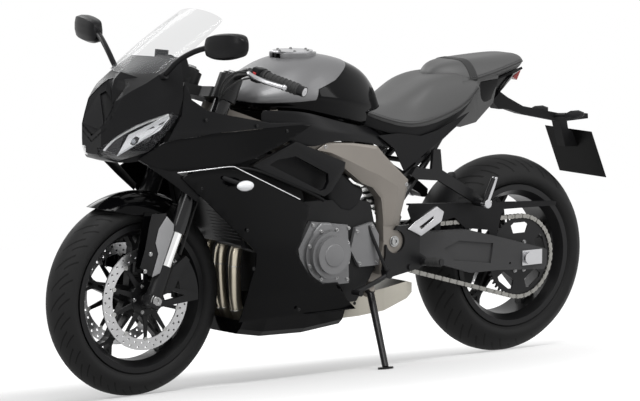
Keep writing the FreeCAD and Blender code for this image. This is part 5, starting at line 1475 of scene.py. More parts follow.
@dataclass
class SidePanels(SubAssembly):
    """Side fairings in creased panels, a silver line as painted highlight along the lower crease, and the
    front signals' lenses.
    """

    wall: float = 3.4
    signal: Point = (1191, 249.5, 641)
    signal_half: Point = (30.5, 15.5, 17.6)
    signal_bulge: tuple[Spot, ...] = (
        (-1.0, 0.12), (-0.86, 0.56), (-0.4, 0.93), (0.1, 1.0), (0.6, 0.8), (0.92, 0.4), (1.0, 0.1),
    )

    def build(self) -> None:
        """Builds the upper, shoulder and lower panels of both sides, their painted crease highlight and the
        lenses.
        """
        upper = self._panel(
            (((1430, 126, 990), (1342, 151, 940), (1241, 186, 890), (1068, 210, 850), (880, 205, 840)),
             ((1430, 150, 815), (1342, 176, 806), (1241, 200, 800), (1068, 215, 806), (880, 213, 812)),
             ((1430, 150, 775), (1342, 170, 775), (1241, 196, 775), (1068, 210, 775), (880, 208, 780))),
            ((1332, 1018), (1345, 940), (1352, 900), (1361, 856), (1362, 852), (1387, 817), (1407, 780.6),
             (1243, 799), (909, 808), (980, 813), (1068, 818), (1241, 854), (1281, 866), (1326, 899),
             (1335, 940), (1320, 1016)))
        shoulder = self._panel(
            (((1520, 106, 745), (1409, 155, 782), (1243, 200, 800), (1080, 211, 805), (880, 213, 810)),
             ((1520, 110, 700), (1381, 161, 684), (1204, 208, 699), (1095, 220, 720), (880, 222, 760))),
            ((1491, 728), (1408, 779.5), (1243, 797.5), (909, 806), (983, 769), (1126, 717), (1204, 699),
             (1381, 684), (1460, 708)))
        lower = self._panel(
            (((1420, 152, 686), (1204, 208, 697), (1080, 212, 650), (930, 204, 600), (760, 190, 600),
              (620, 178, 600)),
             ((1420, 150, 470), (1200, 196, 452), (1080, 206, 440), (930, 200, 425), (760, 188, 420),
              (620, 172, 420)),
             ((1420, 140, 320), (1200, 176, 300), (1080, 188, 300), (930, 182, 300), (760, 170, 295),
              (620, 160, 290)),
             ((1420, 120, 222), (1200, 152, 214), (1080, 160, 212), (930, 158, 212), (760, 150, 212),
              (620, 142, 210))),
            ((1380, 683), (1293, 600), (1140, 454), (1112, 426), (1110, 391), (1126, 330), (1132, 298),
             (1138, 238), (1144, 214), (729, 214), (690, 214), (729, 244), (782, 307), (841, 307), (909, 350),
             (959, 414), (908, 550), (953, 577), (1191, 688), (1204, 697.5)))
        self.place(upper, "upper_panels", Body.CHASSIS, SATIN_BLACK, ("upper_fairings",))
        self.place(shoulder, "shoulder_panels", Body.CHASSIS, GLOSS_BLACK)
        self.place(lower, "lower_panels", Body.CHASSIS, GLOSS_BLACK, ("side_fairings",))
        # Painted highlight: a thin silver pipe along the lower crease.
        line = pipe([(1378, 164, 684.5), (1290, 188, 691), (1206, 209, 698), (1192, 210, 690),
                     (1080, 213, 637), (956, 209, 579)], 1.5, 2)
        self.pair(line, 60, "crease_highlight_lines", Body.CHASSIS, CREASE_HIGHLIGHT)
        self._signals()

    def _panel(self, lines: Sequence[Sequence[Point]], view: Sequence[Spot]) -> bpy.types.Object:
        """A creased panel and its mirror image.

        Args:
            lines: Lines from front to back, top to bottom, that the panel runs between.
            view: Its side view.

        Returns:
            Both panels.
        """
        cage = facing(sheet(lines), LEFT)
        inner = {tuple(round(c) for c in point) for line in lines[1:-1] for point in line}

        def held(one: Vector, two: Vector) -> float:
            """Keeps the lines between strips crisp."""
            ends = {tuple(round(c) for c in point) for point in (one, two)}
            return 0.85 if ends <= inner and abs(one.x - two.x) > 20 else 0.0

        creased(cage, held)
        cage = thick(rounded(cage, 3), self.wall)
        trimmed(cage, through(view, 20, 400))
        return smooth(twin(softened(cage, 0.9)), 30)

    def _signals(self) -> None:
        """Clear lenses on the front signals."""
        x, y, z = self.signal
        long, wide, tall = self.signal_half
        rows = []
        for share, out in self.signal_bulge:
            turns = [math.tau * step / 12 for step in range(12)]
            rows.append([(x + long * share, y + wide * out * math.cos(turn), z + tall * out * math.sin(turn))
                         for turn in turns])
        self.pair(rounded(block(rows)), 60, "front_signal_lenses", Body.CHASSIS, SIGNAL_LENS)


@dataclass
class Guards(SubAssembly):
    """Front fender over the tyre and the hugger behind. Outlines are measured from the axle."""

    fender_half: tuple[Spot, ...] = ((0, 317), (22, 314), (44, 305), (60, 290), (70, 268), (74, 244))
    fender_view: tuple[Spot, ...] = (
        (208, 290), (171, 282), (44, 256), (-48, 240), (-80, 262), (-130, 290), (-130, 400), (230, 400),
    )
    shin: tuple[Spot, ...] = ((10, 262), (-45, 256), (-76, 216), (-9, 78), (12, 76), (47, 87))
    shin_bolts: tuple[Spot, ...] = ((-4, 84), (-24, 112))
    hugger_half: tuple[Spot, ...] = ((0, 330), (30, 327), (60, 312), (80, 296), (90, 282), (92, 271))
    hugger_view: tuple[Spot, ...] = (
        (430, 103), (440, 245), (306, 325), (170, 365), (150, 317), (214, 245), (238, 165), (250, 103),
    )
    wall: float = 3.2

    def build(self) -> None:
        """Builds the fender with its side plates, and the hugger with its feet."""
        x, z = WHEELBASE, FRONT_RADIUS
        arch = self._arch((x, z), self.fender_half, (-40, 55), self.fender_view)
        shin = softened(slab([(x + a, z + b) for a, b in self.shin], 74.7, 3.5), 1.0)
        bolts = [rod((x + a, 76, z + b), (x + a, 84, z + b), 8) for a, b in self.shin_bolts]
        item = joined([arch, twin(joined([shin, *bolts]))])
        self.place(smooth(item, 35), "front_fender_skin", Body.STEERING, GLOSS_BLACK, ("front_fender",))
        arch = self._arch((0, REAR_RADIUS), self.hugger_half, (20, 80), self.hugger_view)
        item = joined([arch, twin(rod((376, 66, 396), (292, 66, 440), 6.5))])
        self.place(smooth(item, 35), "hugger_skin", Body.CHASSIS, PLAIN_PLASTIC, ("hugger",))

    def _arch(self, axle: Spot, half: Sequence[Spot], reach: Spot, view: Sequence[Spot]) -> bpy.types.Object:
        """A curved guard over a tyre, trimmed to a side view.

        Args:
            axle: The wheel's centre (ahead, up).
            half: Its section's left half as (out, radius) points.
            reach: Where it starts and ends, in degrees forward of the top.
            view: Its side view, measured from the axle.

        Returns:
            The guard.
        """
        section = [(-a, r) for a, r in reversed(half[1:])] + list(half)
        rows = []
        for step in range(25):
            turn = math.radians(reach[0] + (reach[1] - reach[0]) * step / 24)
            rows.append([(axle[0] + r * math.sin(turn), a, axle[1] + r * math.cos(turn)) for a, r in section])
        item = facing(sheet(rows), (math.sin(math.radians(sum(reach) / 2)), 0, 1))
        apply_modifier(item, "SOLIDIFY", thickness=self.wall * MM, offset=1.0, use_even_offset=True)
        side = through([(axle[0] + a, axle[1] + b) for a, b in view], -200, 200)
        return softened(trimmed(rounded(item, 1), side), 0.7)


@dataclass
class Exhaust(SubAssembly):
    """Three bent headers into the collector, with weld beads."""

    routes: tuple[float, ...] = (-74, 0, 74)
    line: tuple[Point, ...] = (
        # ahead, share of the route, up
        (1042, 1, 459), (1078, 1, 446), (1097, 1, 420), (1102, 1, 370), (1100, 1, 320), (1092, 0.94, 250),
        (1070, 0.86, 206), (1030, 0.74, 194), (980, 0.6, 191), (900, 0.46, 190), (850, 0.4, 190),
    )
    collector: tuple[tuple[float, float, float, float], ...] = (
        # ahead, half width, bottom, top
        (868, 52, 168, 213), (850, 48, 169, 213), (800, 37, 170, 212), (790, 34, 170, 212),
        (740, 34, 173, 214), (700, 34, 176, 216),
    )

    def build(self) -> None:
        """Builds the pipes, their flanges, the collector and the welds."""
        pipes, beads = [], []
        for y in self.routes:
            pipes.append(pipe([(x, y * share, z) for x, share, z in self.line], 19, 6))
            pipes.append(rod((1034, y, 462), (1044, y, 458), 28, sides=32))
            for spot, way in (((1088, y * 0.93, 238), (-0.18, 0, -1)), ((1101, y, 372), (0.05, 0, -1))):
                base, out = Vector(spot), Vector(way).normalized()
                beads.append(rod(base - out * 1.6, base + out * 1.6, 20, sides=32))
        rows = []
        for x, half, low, high in self.collector:
            left = [(half - 12, low), (half, low + 12), (half, high - 12), (half - 12, high)]
            right = [(-a, b) for a, b in reversed(left)]
            rows.append([(x, a, b) for a, b in (right[-2:] + left + right[:2])])
        pipes.append(softened(block(rows), 3, 3))
        self.place(smooth(joined(pipes), 45), "header_pipes", Body.CHASSIS, HEADER_STEEL, ("headers",))
        self.place(smooth(softened(joined(beads), 1, 2), 40), "header_welds", Body.CHASSIS, PLATED_STEEL)


@dataclass
class Mirrors(SubAssembly):
    """Mirror pods on their stalks, with the glass on the rider's side."""

    stations: tuple[tuple[float, float, float, float, float], ...] = (
        # out, ahead, up, half depth, half height
        (276, 1354, 1066, 10, 12), (290, 1352, 1066, 20, 32), (312, 1349, 1068, 24, 37),
        (350, 1343, 1071, 26, 40), (388, 1337, 1075, 25, 39), (414, 1331, 1077, 21, 33),
        (429, 1327, 1079, 14, 21), (434, 1326, 1079, 8, 12),
    )
    section: tuple[Spot, ...] = (
        (1, 0.35), (0.8, 0.9), (0.1, 1), (-0.85, 0.95), (-1, 0.3), (-1, -0.4), (-0.85, -0.9), (0.1, -1),
        (0.8, -0.8), (1, -0.3),
    )
    stalk: tuple[Point, ...] = (
        (1398, 122, 970), (1396, 140, 986), (1390, 176, 1018), (1374, 230, 1048), (1358, 274, 1063),
        (1352, 300, 1068),
    )
    glass: tuple[Point, ...] = (
        (1327, 304, 1070), (1323.5, 312, 1094), (1316, 345, 1104), (1311, 388, 1106), (1309, 410, 1096),
        (1309.5, 418, 1078), (1309.5, 408, 1058), (1312, 384, 1044), (1318.5, 336, 1042), (1325, 310, 1050),
    )

    def build(self) -> None:
        """Builds the pods, stalks, feet and glasses."""
        rows = [[(ahead + a * deep, out, up + b * tall) for a, b in self.section]
                for out, ahead, up, deep, tall in self.stations]
        pod = creased(block(rows), lambda one, two: 0.7 if abs(one.y - two.y) > 8 else 0.2)
        stalk = pipe(self.stalk, 8.5, 5)
        foot = softened(rod((1402, 104, 962), (1398, 132, 974), 15, 12, sides=32), 2, 3)
        whole = joined([smooth(rounded(pod), 24), stalk, foot])
        self.pair(whole, 60, "mirror_pods", Body.CHASSIS, SATIN_BLACK, ("mirrors",))
        glass = softened(plate(self.glass, (-1.6, 0, 0)), 0.6)
        self.place(twin(glass), "mirror_glasses", Body.CHASSIS, MIRROR_GLASS)


@dataclass
class InnerPanels(SubAssembly):
    """Black panels between the tank, the fairing and the frame, with the air opening."""

    shelf: tuple[tuple[Point, ...], ...] = (
        ((1040, 120, 846), (1000, 130, 844), (950, 146, 842), (880, 158, 832), (800, 152, 808),
         (720, 143, 788),
         (640, 125, 770), (580, 102, 760)),
        ((1040, 126, 816), (1000, 138, 808), (950, 158, 796), (870, 170, 780), (810, 169, 774),
         (720, 161, 762),
         (635, 142, 748), (566, 118, 736)),
        ((1040, 128, 784), (1000, 140, 766), (950, 158, 742), (862, 171, 724), (822, 170, 744),
         (720, 166, 736),
         (627, 150, 721), (545, 122, 702)),
    )
    duct: tuple[Spot, ...] = (
        (1127, 690), (1083, 708), (959, 753), (763, 676), (769, 650), (820, 590), (846, 577), (881, 590),
    )
    opening: tuple[Spot, ...] = (
        (1062, 690), (1030, 703), (960, 708), (832, 646), (830, 620), (843, 600), (862, 596),
    )
    duct_back: tuple[Spot, ...] = (
        (1108, 690), (1044, 714), (952, 720), (812, 656), (808, 606), (846, 580), (884, 588),
    )
    airbox: tuple[Spot, ...] = (
        (770, 650), (742, 637), (700, 602), (664, 588), (666, 566), (684, 532), (718, 512), (757, 522),
        (800, 560), (810, 610),
    )

    def build(self) -> None:
        """Builds the shelf under the tank, the duct's frame, back and lip, and the airbox cover."""
        cage = facing(sheet(self.shelf), (0, 1, 0.2))
        creased(cage, lambda one, two: 0.6 if abs(one.x - two.x) > 20 else 0.0)
        shelf = softened(thick(rounded(cage, 2), 3), 0.9)
        self.pair(shelf, 35, "tank_side_panels", Body.CHASSIS, SATIN_BLACK)
        duct = plate([(x, 170 + (x - 760) * 0.045, z) for x, z in self.duct], (0, 14, 0))
        duct = softened(cut(duct, slab(self.opening, 120, 120)), 2.6, 3)
        self.pair(duct, 40, "air_ducts", Body.CHASSIS, SATIN_BLACK)
        back = softened(slab(self.duct_back, 150, 3), 0.8)
        self.pair(back, 40, "duct_backs", Body.CHASSIS, PLAIN_PLASTIC)
        lip = pipe([(1186, 203, 689), (1140, 203, 688), (1000, 196, 634), (880, 190, 583),
                    (848, 184, 566)], 5.5)
        self.pair(lip, 60, "duct_lips", Body.CHASSIS, GLOSS_BLACK)
        box = softened(slab(self.airbox, 100, 52), 14, 5)
        self.pair(box, 50, "airbox_covers", Body.CHASSIS, PLAIN_PLASTIC)


@dataclass
class SparFacets(SubAssembly):
    """Cast facets on the frame's outer faces."""

    outer: tuple[Spot, ...] = (
        (857, 718), (827, 738), (720, 729), (627, 714), (596, 682), (505, 602), (510, 570), (532, 500),
        (540, 466),
    )
    inner: tuple[Spot, ...] = (
        (852, 716), (802, 689), (750, 656), (684, 605), (643, 588), (613, 560), (607, 540), (600, 482),
        (598, 464),
    )
    ridge: tuple[float, ...] = (0.5, 0.62, 0.7, 0.66, 0.6, 0.42, 0.42, 0.46, 0.5)
    face: float = 165.4
    rise: float = 9.0

    def build(self) -> None:
        """Builds the raised facets of both spars."""
        rows = []
        for number, (out, into) in enumerate(zip(self.outer, self.inner)):
            row = []
            end = number in (0, len(self.outer) - 1)
            for share, lift in ((0, 0), (0.07, 0.35), (self.ridge[number], 1), (0.93, 0.3), (1, 0)):
                height = self.rise * lift * (0.25 if end else 1.0)
                ahead, up = between(out, into, share)
                row.append((ahead, self.face + height, up))
            rows.append(row)
        item = facing(sheet(rows), LEFT)
        item = softened(thick(item, 0.4), 0.8)
        self.pair(item, 12, "spar_facets", Body.CHASSIS, WARM_GREY)


@dataclass
class Rests(SubAssembly):
    """Bright heel guards, folded pillion pegs and the rubber of the rider's pegs."""

    guard: tuple[Spot, ...] = (
        (514, 450), (486, 470), (398, 512), (370, 494), (379, 464), (461, 424), (500, 444),
    )
    window: tuple[Spot, ...] = ((468, 453), (412, 483), (412, 474), (458, 446))
    blade: tuple[Spot, ...] = ((222, 500), (212, 514), (176, 590), (166, 588), (176, 560), (202, 504))
    peg: tuple[Point, Point] = ((446, 192, 344.6), (437, 248, 348.6))

    def build(self) -> None:
        """Builds both heel guards and pegs."""
        guard = softened(cut(slab(self.guard, 174.6, 5), slab(self.window, 160, 40)), 1.6, 3)
        self.pair(guard, 40, "heel_guards", Body.CHASSIS, SILVER_ALLOY)
        foot = rod((206, 176, 507), (206, 198, 507), 14, sides=32)
        blade = softened(joined([slab(self.blade, 178, 17), foot]), 2, 3)
        self.pair(blade, 40, "pillion_peg_sleeves", Body.CHASSIS, SILVER_ALLOY)
        ends = [Vector(point) for point in self.peg]
        ribs = [rod(ends[0].lerp(ends[1], share), ends[0].lerp(ends[1], share + 0.06), 14.6, sides=32)
                for share in (0.06, 0.2, 0.34, 0.48, 0.62, 0.76, 0.9)]
        sleeve = softened(rod(*ends, 13.5, sides=32), 1.5)
        self.pair(joined([sleeve, *ribs]), 40, "rider_peg_sleeves", Body.CHASSIS, GRIP_RUBBER)


@dataclass
class BarSide(SubAssembly):
    """The left handlebar's line, for what sits on it."""

    tip: Point = (1078, 362, 930.5)
    shoulder: Point = (1141.5, 199, 977.8)
    ahead: Point = (0.985, 0, 0.17)

    @property
    def axes(self) -> tuple[Vector, Vector, Vector, Vector]:
        """The bar's tip, and its directions outwards, ahead and up.

        Returns:
            The four of them.
        """
        tip, ahead = Vector(self.tip), Vector(self.ahead)
        out = (tip - Vector(self.shoulder)).normalized()
        return tip, out, ahead, ahead.cross(out).normalized()


@dataclass
class BarFittings(BarSide):
    """Levers, switch button, bar ends and grip rings on the handlebars."""

    lever: tuple[Point, ...] = (
        (1156, 224, 972), (1176, 238, 977), (1183, 266, 971), (1170, 306, 957), (1150, 336, 947),
        (1131, 358, 940),
    )

    def build(self) -> None:
        """Builds the levers, the bar ends, the button and the rings."""
        lever = joined([pipe(self.lever, 6.9), ball(self.lever[-1], 9, 24)])
        self.pair(lever, 60, "hand_levers", Body.STEERING, SILVER_ALLOY)
        tip, out, ahead, up = self.axes
        end = softened(rod(tip + out * 2, tip + out * 20.5, 15.4, 13.5, sides=40), 1.6, 3)
        cap = bolt(tip + out * 18, out, 7, 3.4)
        self.pair(joined([end, cap]), 40, "bar_ends", Body.STEERING, SILVER_ALLOY)
        spot, side, rise = tip - out * 138 + ahead * 27, out * 9, up * 7
        key = plate([spot - side - rise, spot + side - rise, spot + side * 0.8 + rise, spot - side + rise],
                    ahead * 5)
        self.place(smooth(softened(key, 1.4, 3), 40), "switch_button", Body.STEERING, RED_PLASTIC)
        rings = [rod(tip - out * (8 + 14 * n), tip - out * (13 + 14 * n), 18.8, sides=40) for n in range(8)]
        self.pair(softened(joined(rings), 0.8), 40, "grip_rings", Body.STEERING, GRIP_RUBBER)


@dataclass
class ForkGuards(SubAssembly):
    """Satin guards in front of the fork's bright tubes."""

    outer: tuple[Spot, ...] = (
        (1386, 551), (1360, 524), (1363, 500), (1389, 437), (1412, 382), (1440, 373), (1417, 440),
        (1427, 475), (1415, 515),
    )
    inner: tuple[Spot, ...] = (
        (1438, 560), (1384, 560), (1390, 548), (1412, 512), (1423, 475), (1413, 440), (1438, 378),
        (1448, 376), (1481, 404), (1461, 462), (1447, 531),
    )

    def build(self) -> None:
        """Builds the pale plate and the darker one with its bolts, on both legs."""
        pale = softened(slab(self.outer, 119, 4), 1.6, 3)
        self.pair(pale, 40, "fork_guards", Body.STEERING, GUARD_GREY)
        dark = softened(slab(self.inner, 116, 4), 1.6, 3)
        self.pair(dark, 40, "guard_brackets", Body.STEERING, BLACK_METAL)
        heads = [bolt(spot, LEFT, 5, 3) for spot in ((1444, 120, 442), (1464, 120, 392))]
        self.pair(joined(heads), 40, "guard_bolts", Body.STEERING, BOLT_STEEL)


@dataclass
class RadiatorVents(SubAssembly):
    """Slats beside the radiator, the lip over the headers and the lower front edge of the fairing."""

    count: int = 9

    def build(self) -> None:
        """Builds the slats, the lip and the chin panels."""
        slats = []
        for number in range(self.count):
            x, z = 1189 - number * 3.3, 549 - number * 10
            slats.append(plate([(x + 5, 62, z), (x - 10, 62, z - 3), (x - 10, 62, z - 5), (x + 5, 62, z - 2)],
                               (-20, 96, -4)))
        self.pair(joined(slats), 40, "radiator_slats", Body.CHASSIS, FORGED_GREY)
        lip = sheet([[(1166, 60, 457), (1130, 100, 450), (1080, 140, 428)],
                     [(1146, 60, 446), (1108, 100, 436), (1062, 140, 414)]])
        lip = softened(thick(rounded(facing(lip, (0, 0, 1)), 2), 4), 1.4)
        self.pair(lip, 50, "header_lips", Body.CHASSIS, FORGED_GREY)
        chin = sheet([[(1491, 101, 728), (1446, 125, 698), (1380, 147, 648), (1308, 162, 594)],
                      [(1484, 104, 734), (1446, 129, 716), (1384, 157, 694), (1296, 168, 612)]])
        chin = softened(thick(facing(chin, LEFT), 3), 0.8)
        self.pair(chin, 30, "chin_panels", Body.CHASSIS, SATIN_BLACK)


@dataclass
class CoverDetails(SubAssembly):
    """Rounded rims, lobes and a rounded cap on the engine's round cover."""

    rims: tuple[Point, ...] = ((176, 71, 7), (192, 57, 6), (204, 43, 5))
    face: float = 150.5
    lobes: int = 8
    lobe_ring: float = 76
    bulge: tuple[Spot, ...] = (
        (790, 458), (806, 492), (846, 496), (876, 470), (886, 436), (860, 440), (820, 462),
    )

    def build(self) -> None:
        """Builds the rims, the bolt lobes and the cap."""
        x, z = COVER_CENTRE
        made = []
        for side, radius, roll in self.rims:
            bpy.ops.mesh.primitive_torus_add(
                major_segments=72, minor_segments=16, major_radius=(radius - roll) * MM,
                minor_radius=roll * MM, location=Vector((x, side - roll, z)) * MM,
                rotation=(math.pi / 2, 0, 0))
            made.append(settle(bpy.context.active_object))
        made.append(softened(rod((x, 200, z), (x, 207.5, z), 37, 34, sides=64), 2, 3))
        heads = []
        out = Vector(LEFT)
        for number in range(self.lobes):
            turn, far = math.radians(20 + number * 360 / self.lobes), self.lobe_ring
            spot = Vector((x + far * math.cos(turn), self.face, z + far * math.sin(turn)))
            made.append(softened(rod(spot, spot + out * 20, 9, sides=24), 2))
            heads.append(bolt(spot + out * 19, LEFT, 5, 4))
        made.append(softened(slab(self.bulge, self.face, 26), 7, 4))
        self.place(smooth(joined(made), 40), "cover_rims", Body.CHASSIS, COVER_GREY)
        self.place(smooth(joined(heads), 40), "cover_bolts", Body.CHASSIS, BOLT_STEEL)


@dataclass
class BarWiring(BarSide):
    """Switch housings and their cables."""

    housing: tuple[Spot, ...] = ((-14, -20), (22, -24), (30, -6), (26, 20), (-6, 24), (-16, 12))

    def build(self) -> None:
        """Builds the housings and the cables."""
        tip, out, ahead, up = self.axes
        up = up if up.z > 0 else -up
        start = tip - out * 150
        box = softened(plate([start + ahead * a + up * b for a, b in self.housing], out * 26), 4, 4)
        self.pair(box, 40, "switch_housings", Body.STEERING, SATIN_BLACK)
        cables = [
            pipe([start + ahead * 20, (1178, 204, 982), (1198, 168, 962), (1202, 128, 918),
                  (1186, 110, 862)], 3.4),
            pipe([start + ahead * 10 - up * 14, (1160, 206, 958), (1186, 170, 936), (1198, 120, 890),
                  (1180, 100, 850)], 2.8),
            pipe([(1176, 240, 972), (1196, 214, 974), (1206, 176, 944), (1200, 132, 900),
                  (1188, 104, 866)], 2.4),
        ]
        self.pair(joined(cables), 60, "bar_cables", Body.STEERING, GRIP_RUBBER)


@dataclass
class Fasteners(SubAssembly):
    """Bolts, nuts and small hardware of every body."""

    fork_lean: float = 23.8
    fork_side: float = 105
    fork_top: float = 722
    cover_bolts: tuple[Spot, ...] = (
        (742, 312), (738, 470), (875, 490), (624, 356), (690, 356), (700, 456), (640, 468),
    )
    frame_bolts: tuple[Spot, ...] = ((512, 588), (566, 316), (600, 330), (828, 726))
    panel_bolts: tuple[Point, ...] = (
        (1290, 188, 838), (1120, 212, 812), (1010, 214, 790), (1300, 178, 634), (1150, 205, 500),
        (1120, 196, 380), (760, 186, 360), (700, 152, 232), (930, 172, 236),
    )

    def build(self) -> None:
        """Builds one joined piece of bolts for each body that has them."""
        x, z = COVER_CENTRE
        chassis = self._ring((x, 176.4, z), 79, 8, 5, 5, 0.5)
        chassis += [bolt((a, 168.4 if a > 730 else 162.4, b), LEFT, 4.5) for a, b in self.cover_bolts]
        chassis.append(bolt((557, 165.2, 414), LEFT, 13, 8))
        chassis += [bolt((a, 165.2, b), LEFT) for a, b in self.frame_bolts]
        nuts = self._ring((0, 106.2, REAR_RADIUS), 48, 8, 5, 6, 0.5)
        x, y, z = FILLER
        lid = []
        for step in range(6):
            turn = math.tau * step / 6
            lid.append(bolt((x + 50 * math.cos(turn), 50 * math.sin(turn), z + 8), (0, 0, 1), 4, 4))
        front = self._ring((WHEELBASE, 69.4, FRONT_RADIUS), 41, 5, 4.5, 4)
        for piece, name, body in ((joined(chassis), "chassis_bolts", Body.CHASSIS),
                                  (joined(nuts), "sprocket_nuts", Body.REAR_WHEEL),
                                  (joined(lid), "lid_bolts", Body.FILLER_LID),
                                  (twin(joined(front)), "disc_bolts", Body.FRONT_WHEEL)):
            self.place(smooth(piece, 40), name, body, BOLT_STEEL)
        panel = [bolt(spot, LEFT, 4.2, 3) for spot in self.panel_bolts]
        self.pair(joined(panel), 40, "panel_bolts", Body.CHASSIS, BLACK_METAL)
        lean = math.radians(self.fork_lean)
        up = Vector((-math.sin(lean), 0, math.cos(lean)))
        cap = bolt(Vector((WHEELBASE, self.fork_side, FRONT_RADIUS)) + up * self.fork_top, up, 15, 8)
        steer = joined([bolt((WHEELBASE, 122.5, FRONT_RADIUS), LEFT, 15, 7), cap])
        self.place(smooth(twin(steer), 40), "fork_hardware", Body.STEERING, BOLT_STEEL)

    def _ring(self, centre: Point, radius: float, count: int, size: float, head: float,
              start: float = 0.0) -> list[bpy.types.Object]:
        """A ring of bolts that point to the left.

        Args:
            centre: The ring's centre.
            radius: Its radius.
            count: How many bolts it has.
            size: Radius of a bolt's head.
            head: Height of its head.
            start: How far past straight ahead the first one is, in steps.

        Returns:
            The bolts.
        """
        x, y, z = centre
        turns = [math.tau * (step + start) / count for step in range(count)]
        return [bolt((x + radius * math.cos(turn), y, z + radius * math.sin(turn)), LEFT, size, head)
                for turn in turns]


@dataclass
class Studio:
    """Pale floor with painted shade round the machine, soft lamps and the camera."""

    stance: Stance
    eye: Point = (8.6324, 10.2652, 2.2244)
    yaw: float = -127.629
    pitch: float = -7.424
    roll: float = 0.337
    focal_share: float = 4232.6 / 640
    sky: float = 0.6
    # The floor glows less near the machine than far from it: painted shade round the machine, fading out
    # between the two reaches in metres.
    floor_glow_and_painted_shade: tuple[float, float] = (0.30, 0.8)
    shade_fade_reach: Spot = (0.7, 2.4)
    shade_pool_centre: Point = (0.7, 0.0, 0.0)
    floor_shade: float = 0.44
    lamps: tuple[tuple[Point, Point, float, float, float], ...] = (
        ((1.2, 2.6, 4.4), (0.4, 0.0, 0.5), 3.0, 1.6, 190),
        ((4.8, 1.2, 2.6), (1.2, 0.0, 0.6), 1.2, 3.0, 50),
        ((-3.2, 3.4, 2.6), (0.0, 0.0, 0.6), 1.4, 3.0, 50),
        ((0.6, -3.6, 3.4), (0.6, 0.0, 0.6), 3.4, 1.6, 70),
    )

    def build(self) -> None:
        """Makes the floor, the lamps, the world and the camera."""
        self._floor()
        self._world()
        for number, (spot, aim, wide, tall, power) in enumerate(self.lamps, start=1):
            self._lamp(number, Vector(spot), Vector(aim), wide, tall, power)
        self._camera()
        bpy.context.scene.view_settings.view_transform = "Standard"

    def _floor(self) -> None:
        """A wide floor, bright to the camera and in reflections, that keeps the shadow, with painted shade
        round the machine where its glow is dimmed.
        """
        deselect()
        bpy.ops.mesh.primitive_plane_add(size=80, location=(0, 0, 0))
        floor = bpy.context.active_object
        floor.name = "studio_floor"
        made = bpy.data.materials.new("pale_floor")
        made.use_nodes = True
        graph = Graph(made.node_tree)
        graph.feed(graph.shader, {"Base Color": (*[self.floor_shade] * 3, 1), "Roughness": 0.9,
                                  "Specular IOR Level": 0.0})
        away = graph.add("VectorMath", {0: graph.place(), 1: self.shade_pool_centre}, operation="SUBTRACT")
        far = graph.add("VectorMath", {0: away.outputs["Vector"]}, operation="LENGTH")
        # Painted shade: the glow is lowest near the machine and rises smoothly outwards.
        glow_less_shade = graph.add("MapRange", {
            "Value": far.outputs["Value"],
            "From Min": self.shade_fade_reach[0], "From Max": self.shade_fade_reach[1],
            "To Min": self.floor_glow_and_painted_shade[0], "To Max": self.floor_glow_and_painted_shade[1],
        }, interpolation_type="SMOOTHSTEP")
        strength = graph.sum_up("MULTIPLY", graph.seen(), glow_less_shade.outputs["Result"])
        glow = graph.add("Emission", {"Strength": strength})
        both = graph.add("AddShader", {0: graph.shader.outputs[0], 1: glow.outputs[0]})
        graph.feed(made.node_tree.nodes["Material Output"], {"Surface": both.outputs[0]})
        floor.data.materials.append(made)

    def _world(self) -> None:
        """Soft light from all round."""
        world = bpy.data.worlds.new("studio_world")
        bpy.context.scene.world = world
        world.use_nodes = True
        graph = Graph(world.node_tree)
        graph.feed(world.node_tree.nodes["Background"], {
            "Color": (1, 1, 1, 1), "Strength": graph.ranged(graph.seen(), self.sky, 1.0),
        })

    def _lamp(self, number: int, spot: Vector, aim: Vector, wide: float, tall: float, power: float) -> None:
        """A softbox that looks at a point.

        Args:
            number: Its number, for its name.
            spot: Where it stands.
            aim: Where it points.
            wide: Its width.
            tall: Its height.
            power: Its power in watts.
        """
        data = bpy.data.lights.new(f"softbox_{number}", "AREA")
        data.shape = "RECTANGLE"
        data.size, data.size_y, data.energy = wide, tall, power
        item = bpy.data.objects.new(data.name, data)
        bpy.context.scene.collection.objects.link(item)
        item.location = spot
        item.rotation_mode = "QUATERNION"
        item.rotation_quaternion = (aim - spot).to_track_quat("-Z", "Y")

    def _camera(self) -> None:
        """The photograph's camera, leaned over with the machine so that it sees it the same way."""
        yaw, pitch, roll = (math.radians(angle) for angle in (self.yaw, self.pitch, self.roll))
        ahead = Vector((math.cos(pitch) * math.cos(yaw), math.cos(pitch) * math.sin(yaw), math.sin(pitch)))
        right = ahead.cross(Vector((0, 0, 1))).normalized()
        up = right.cross(ahead)
        turned = math.cos(roll) * right + math.sin(roll) * up
        raised = math.cos(roll) * up - math.sin(roll) * right
        axes = Matrix((turned, raised, -ahead)).transposed().to_4x4()
        data = bpy.data.cameras.new("camera")
        data.sensor_width = 36
        data.lens = self.focal_share * data.sensor_width
        data.clip_end = 200
        item = bpy.data.objects.new("camera", data)
        bpy.context.scene.collection.objects.link(item)
        item.matrix_world = self.stance.lean @ Matrix.Translation(self.eye) @ axes
        bpy.context.scene.camera = item


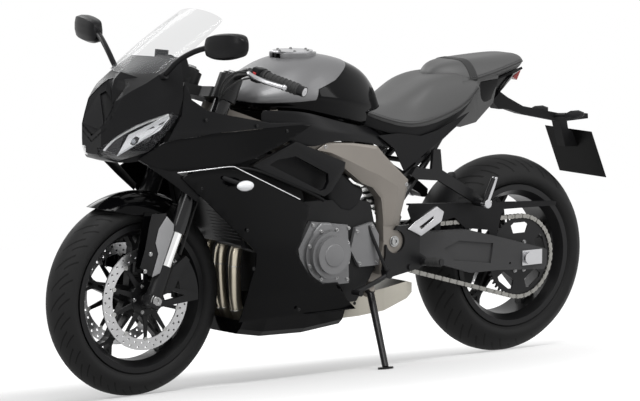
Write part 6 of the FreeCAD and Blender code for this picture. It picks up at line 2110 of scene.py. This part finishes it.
PLAIN_DRESS: dict[AnyFinish, tuple[str, ...]] = {
    TYRE_RUBBER: ("front_tyre", "rear_tyre"),
    BLACK_METAL: ("front_rim", "rear_rim", "rear_sprocket", "fork_lowers", "yokes", "handlebars", "controls",
                  "front_calipers", "rear_caliper", "radiator", "side_stand", "subframe", "peg_brackets",
                  "foot_controls", "pillion_pegs"),
    DISC_STEEL: ("front_discs", "rear_disc"),
    PLATED_STEEL: ("front_axle", "chain", "shock"),
    SILVER_ALLOY: ("rear_axle", "filler_lid"),
    CHROME_TUBE: ("fork_tubes",),
    FORK_BLACK: ("fork_outers",),
    GRIP_RUBBER: ("grips", "brake_hoses"),
    GLOSS_BLACK: ("front_fender", "tank", "tail_cowl", "upper_fairings", "side_fairings", "belly_pan"),
    SWING_GREY: ("swingarm",),
    WARM_GREY: ("frame",),
    ENGINE_BLACK: ("engine",),
    COVER_GREY: ("engine_covers",),
    HEADER_STEEL: ("headers",),
    EXHAUST: ("silencer",),
    GRAPHITE: ("tank_cover",),
    SEAT_VINYL: ("rider_seat", "pillion_seat"),
    RED_LENS: ("tail_light",),
    SATIN_BLACK: ("nose_cowl", "mirrors"),
    LAMP_COVER: ("headlights",),
    LAMP_DARK: ("lamp_bowls",),
    SCREEN: ("windscreen",),
    PLAIN_PLASTIC: ("side_covers", "cockpit", "front_signals", "plate_bracket", "hugger", "chain_guard"),
    PLATE_BLACK: ("number_plate",),
}


@dataclass
class Carried(SubAssembly):
    """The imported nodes, of which those whose own shape is right stay in view."""

    def build(self) -> None:
        """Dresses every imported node."""
        for finish, nodes in PLAIN_DRESS.items():
            for node in nodes:
                self.dress(node, finish)


SUB_ASSEMBLIES = (
    Carried, Wheels, DriveChain, Saddle, TankShell, Nose, Screen, SidePanels, Guards, Exhaust, Mirrors,
    InnerPanels, SparFacets, Rests, BarFittings, ForkGuards, RadiatorVents, CoverDetails, BarWiring,
    Fasteners,
)


def main() -> None:
    """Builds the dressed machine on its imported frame."""
    logging.basicConfig(level=logging.INFO, format="%(message)s")
    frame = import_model()
    stance = Stance.read(frame)
    Studio(stance).build()
    for kind in SUB_ASSEMBLIES:
        kind(stance, frame).build()


if __name__ == "__main__":
    main()
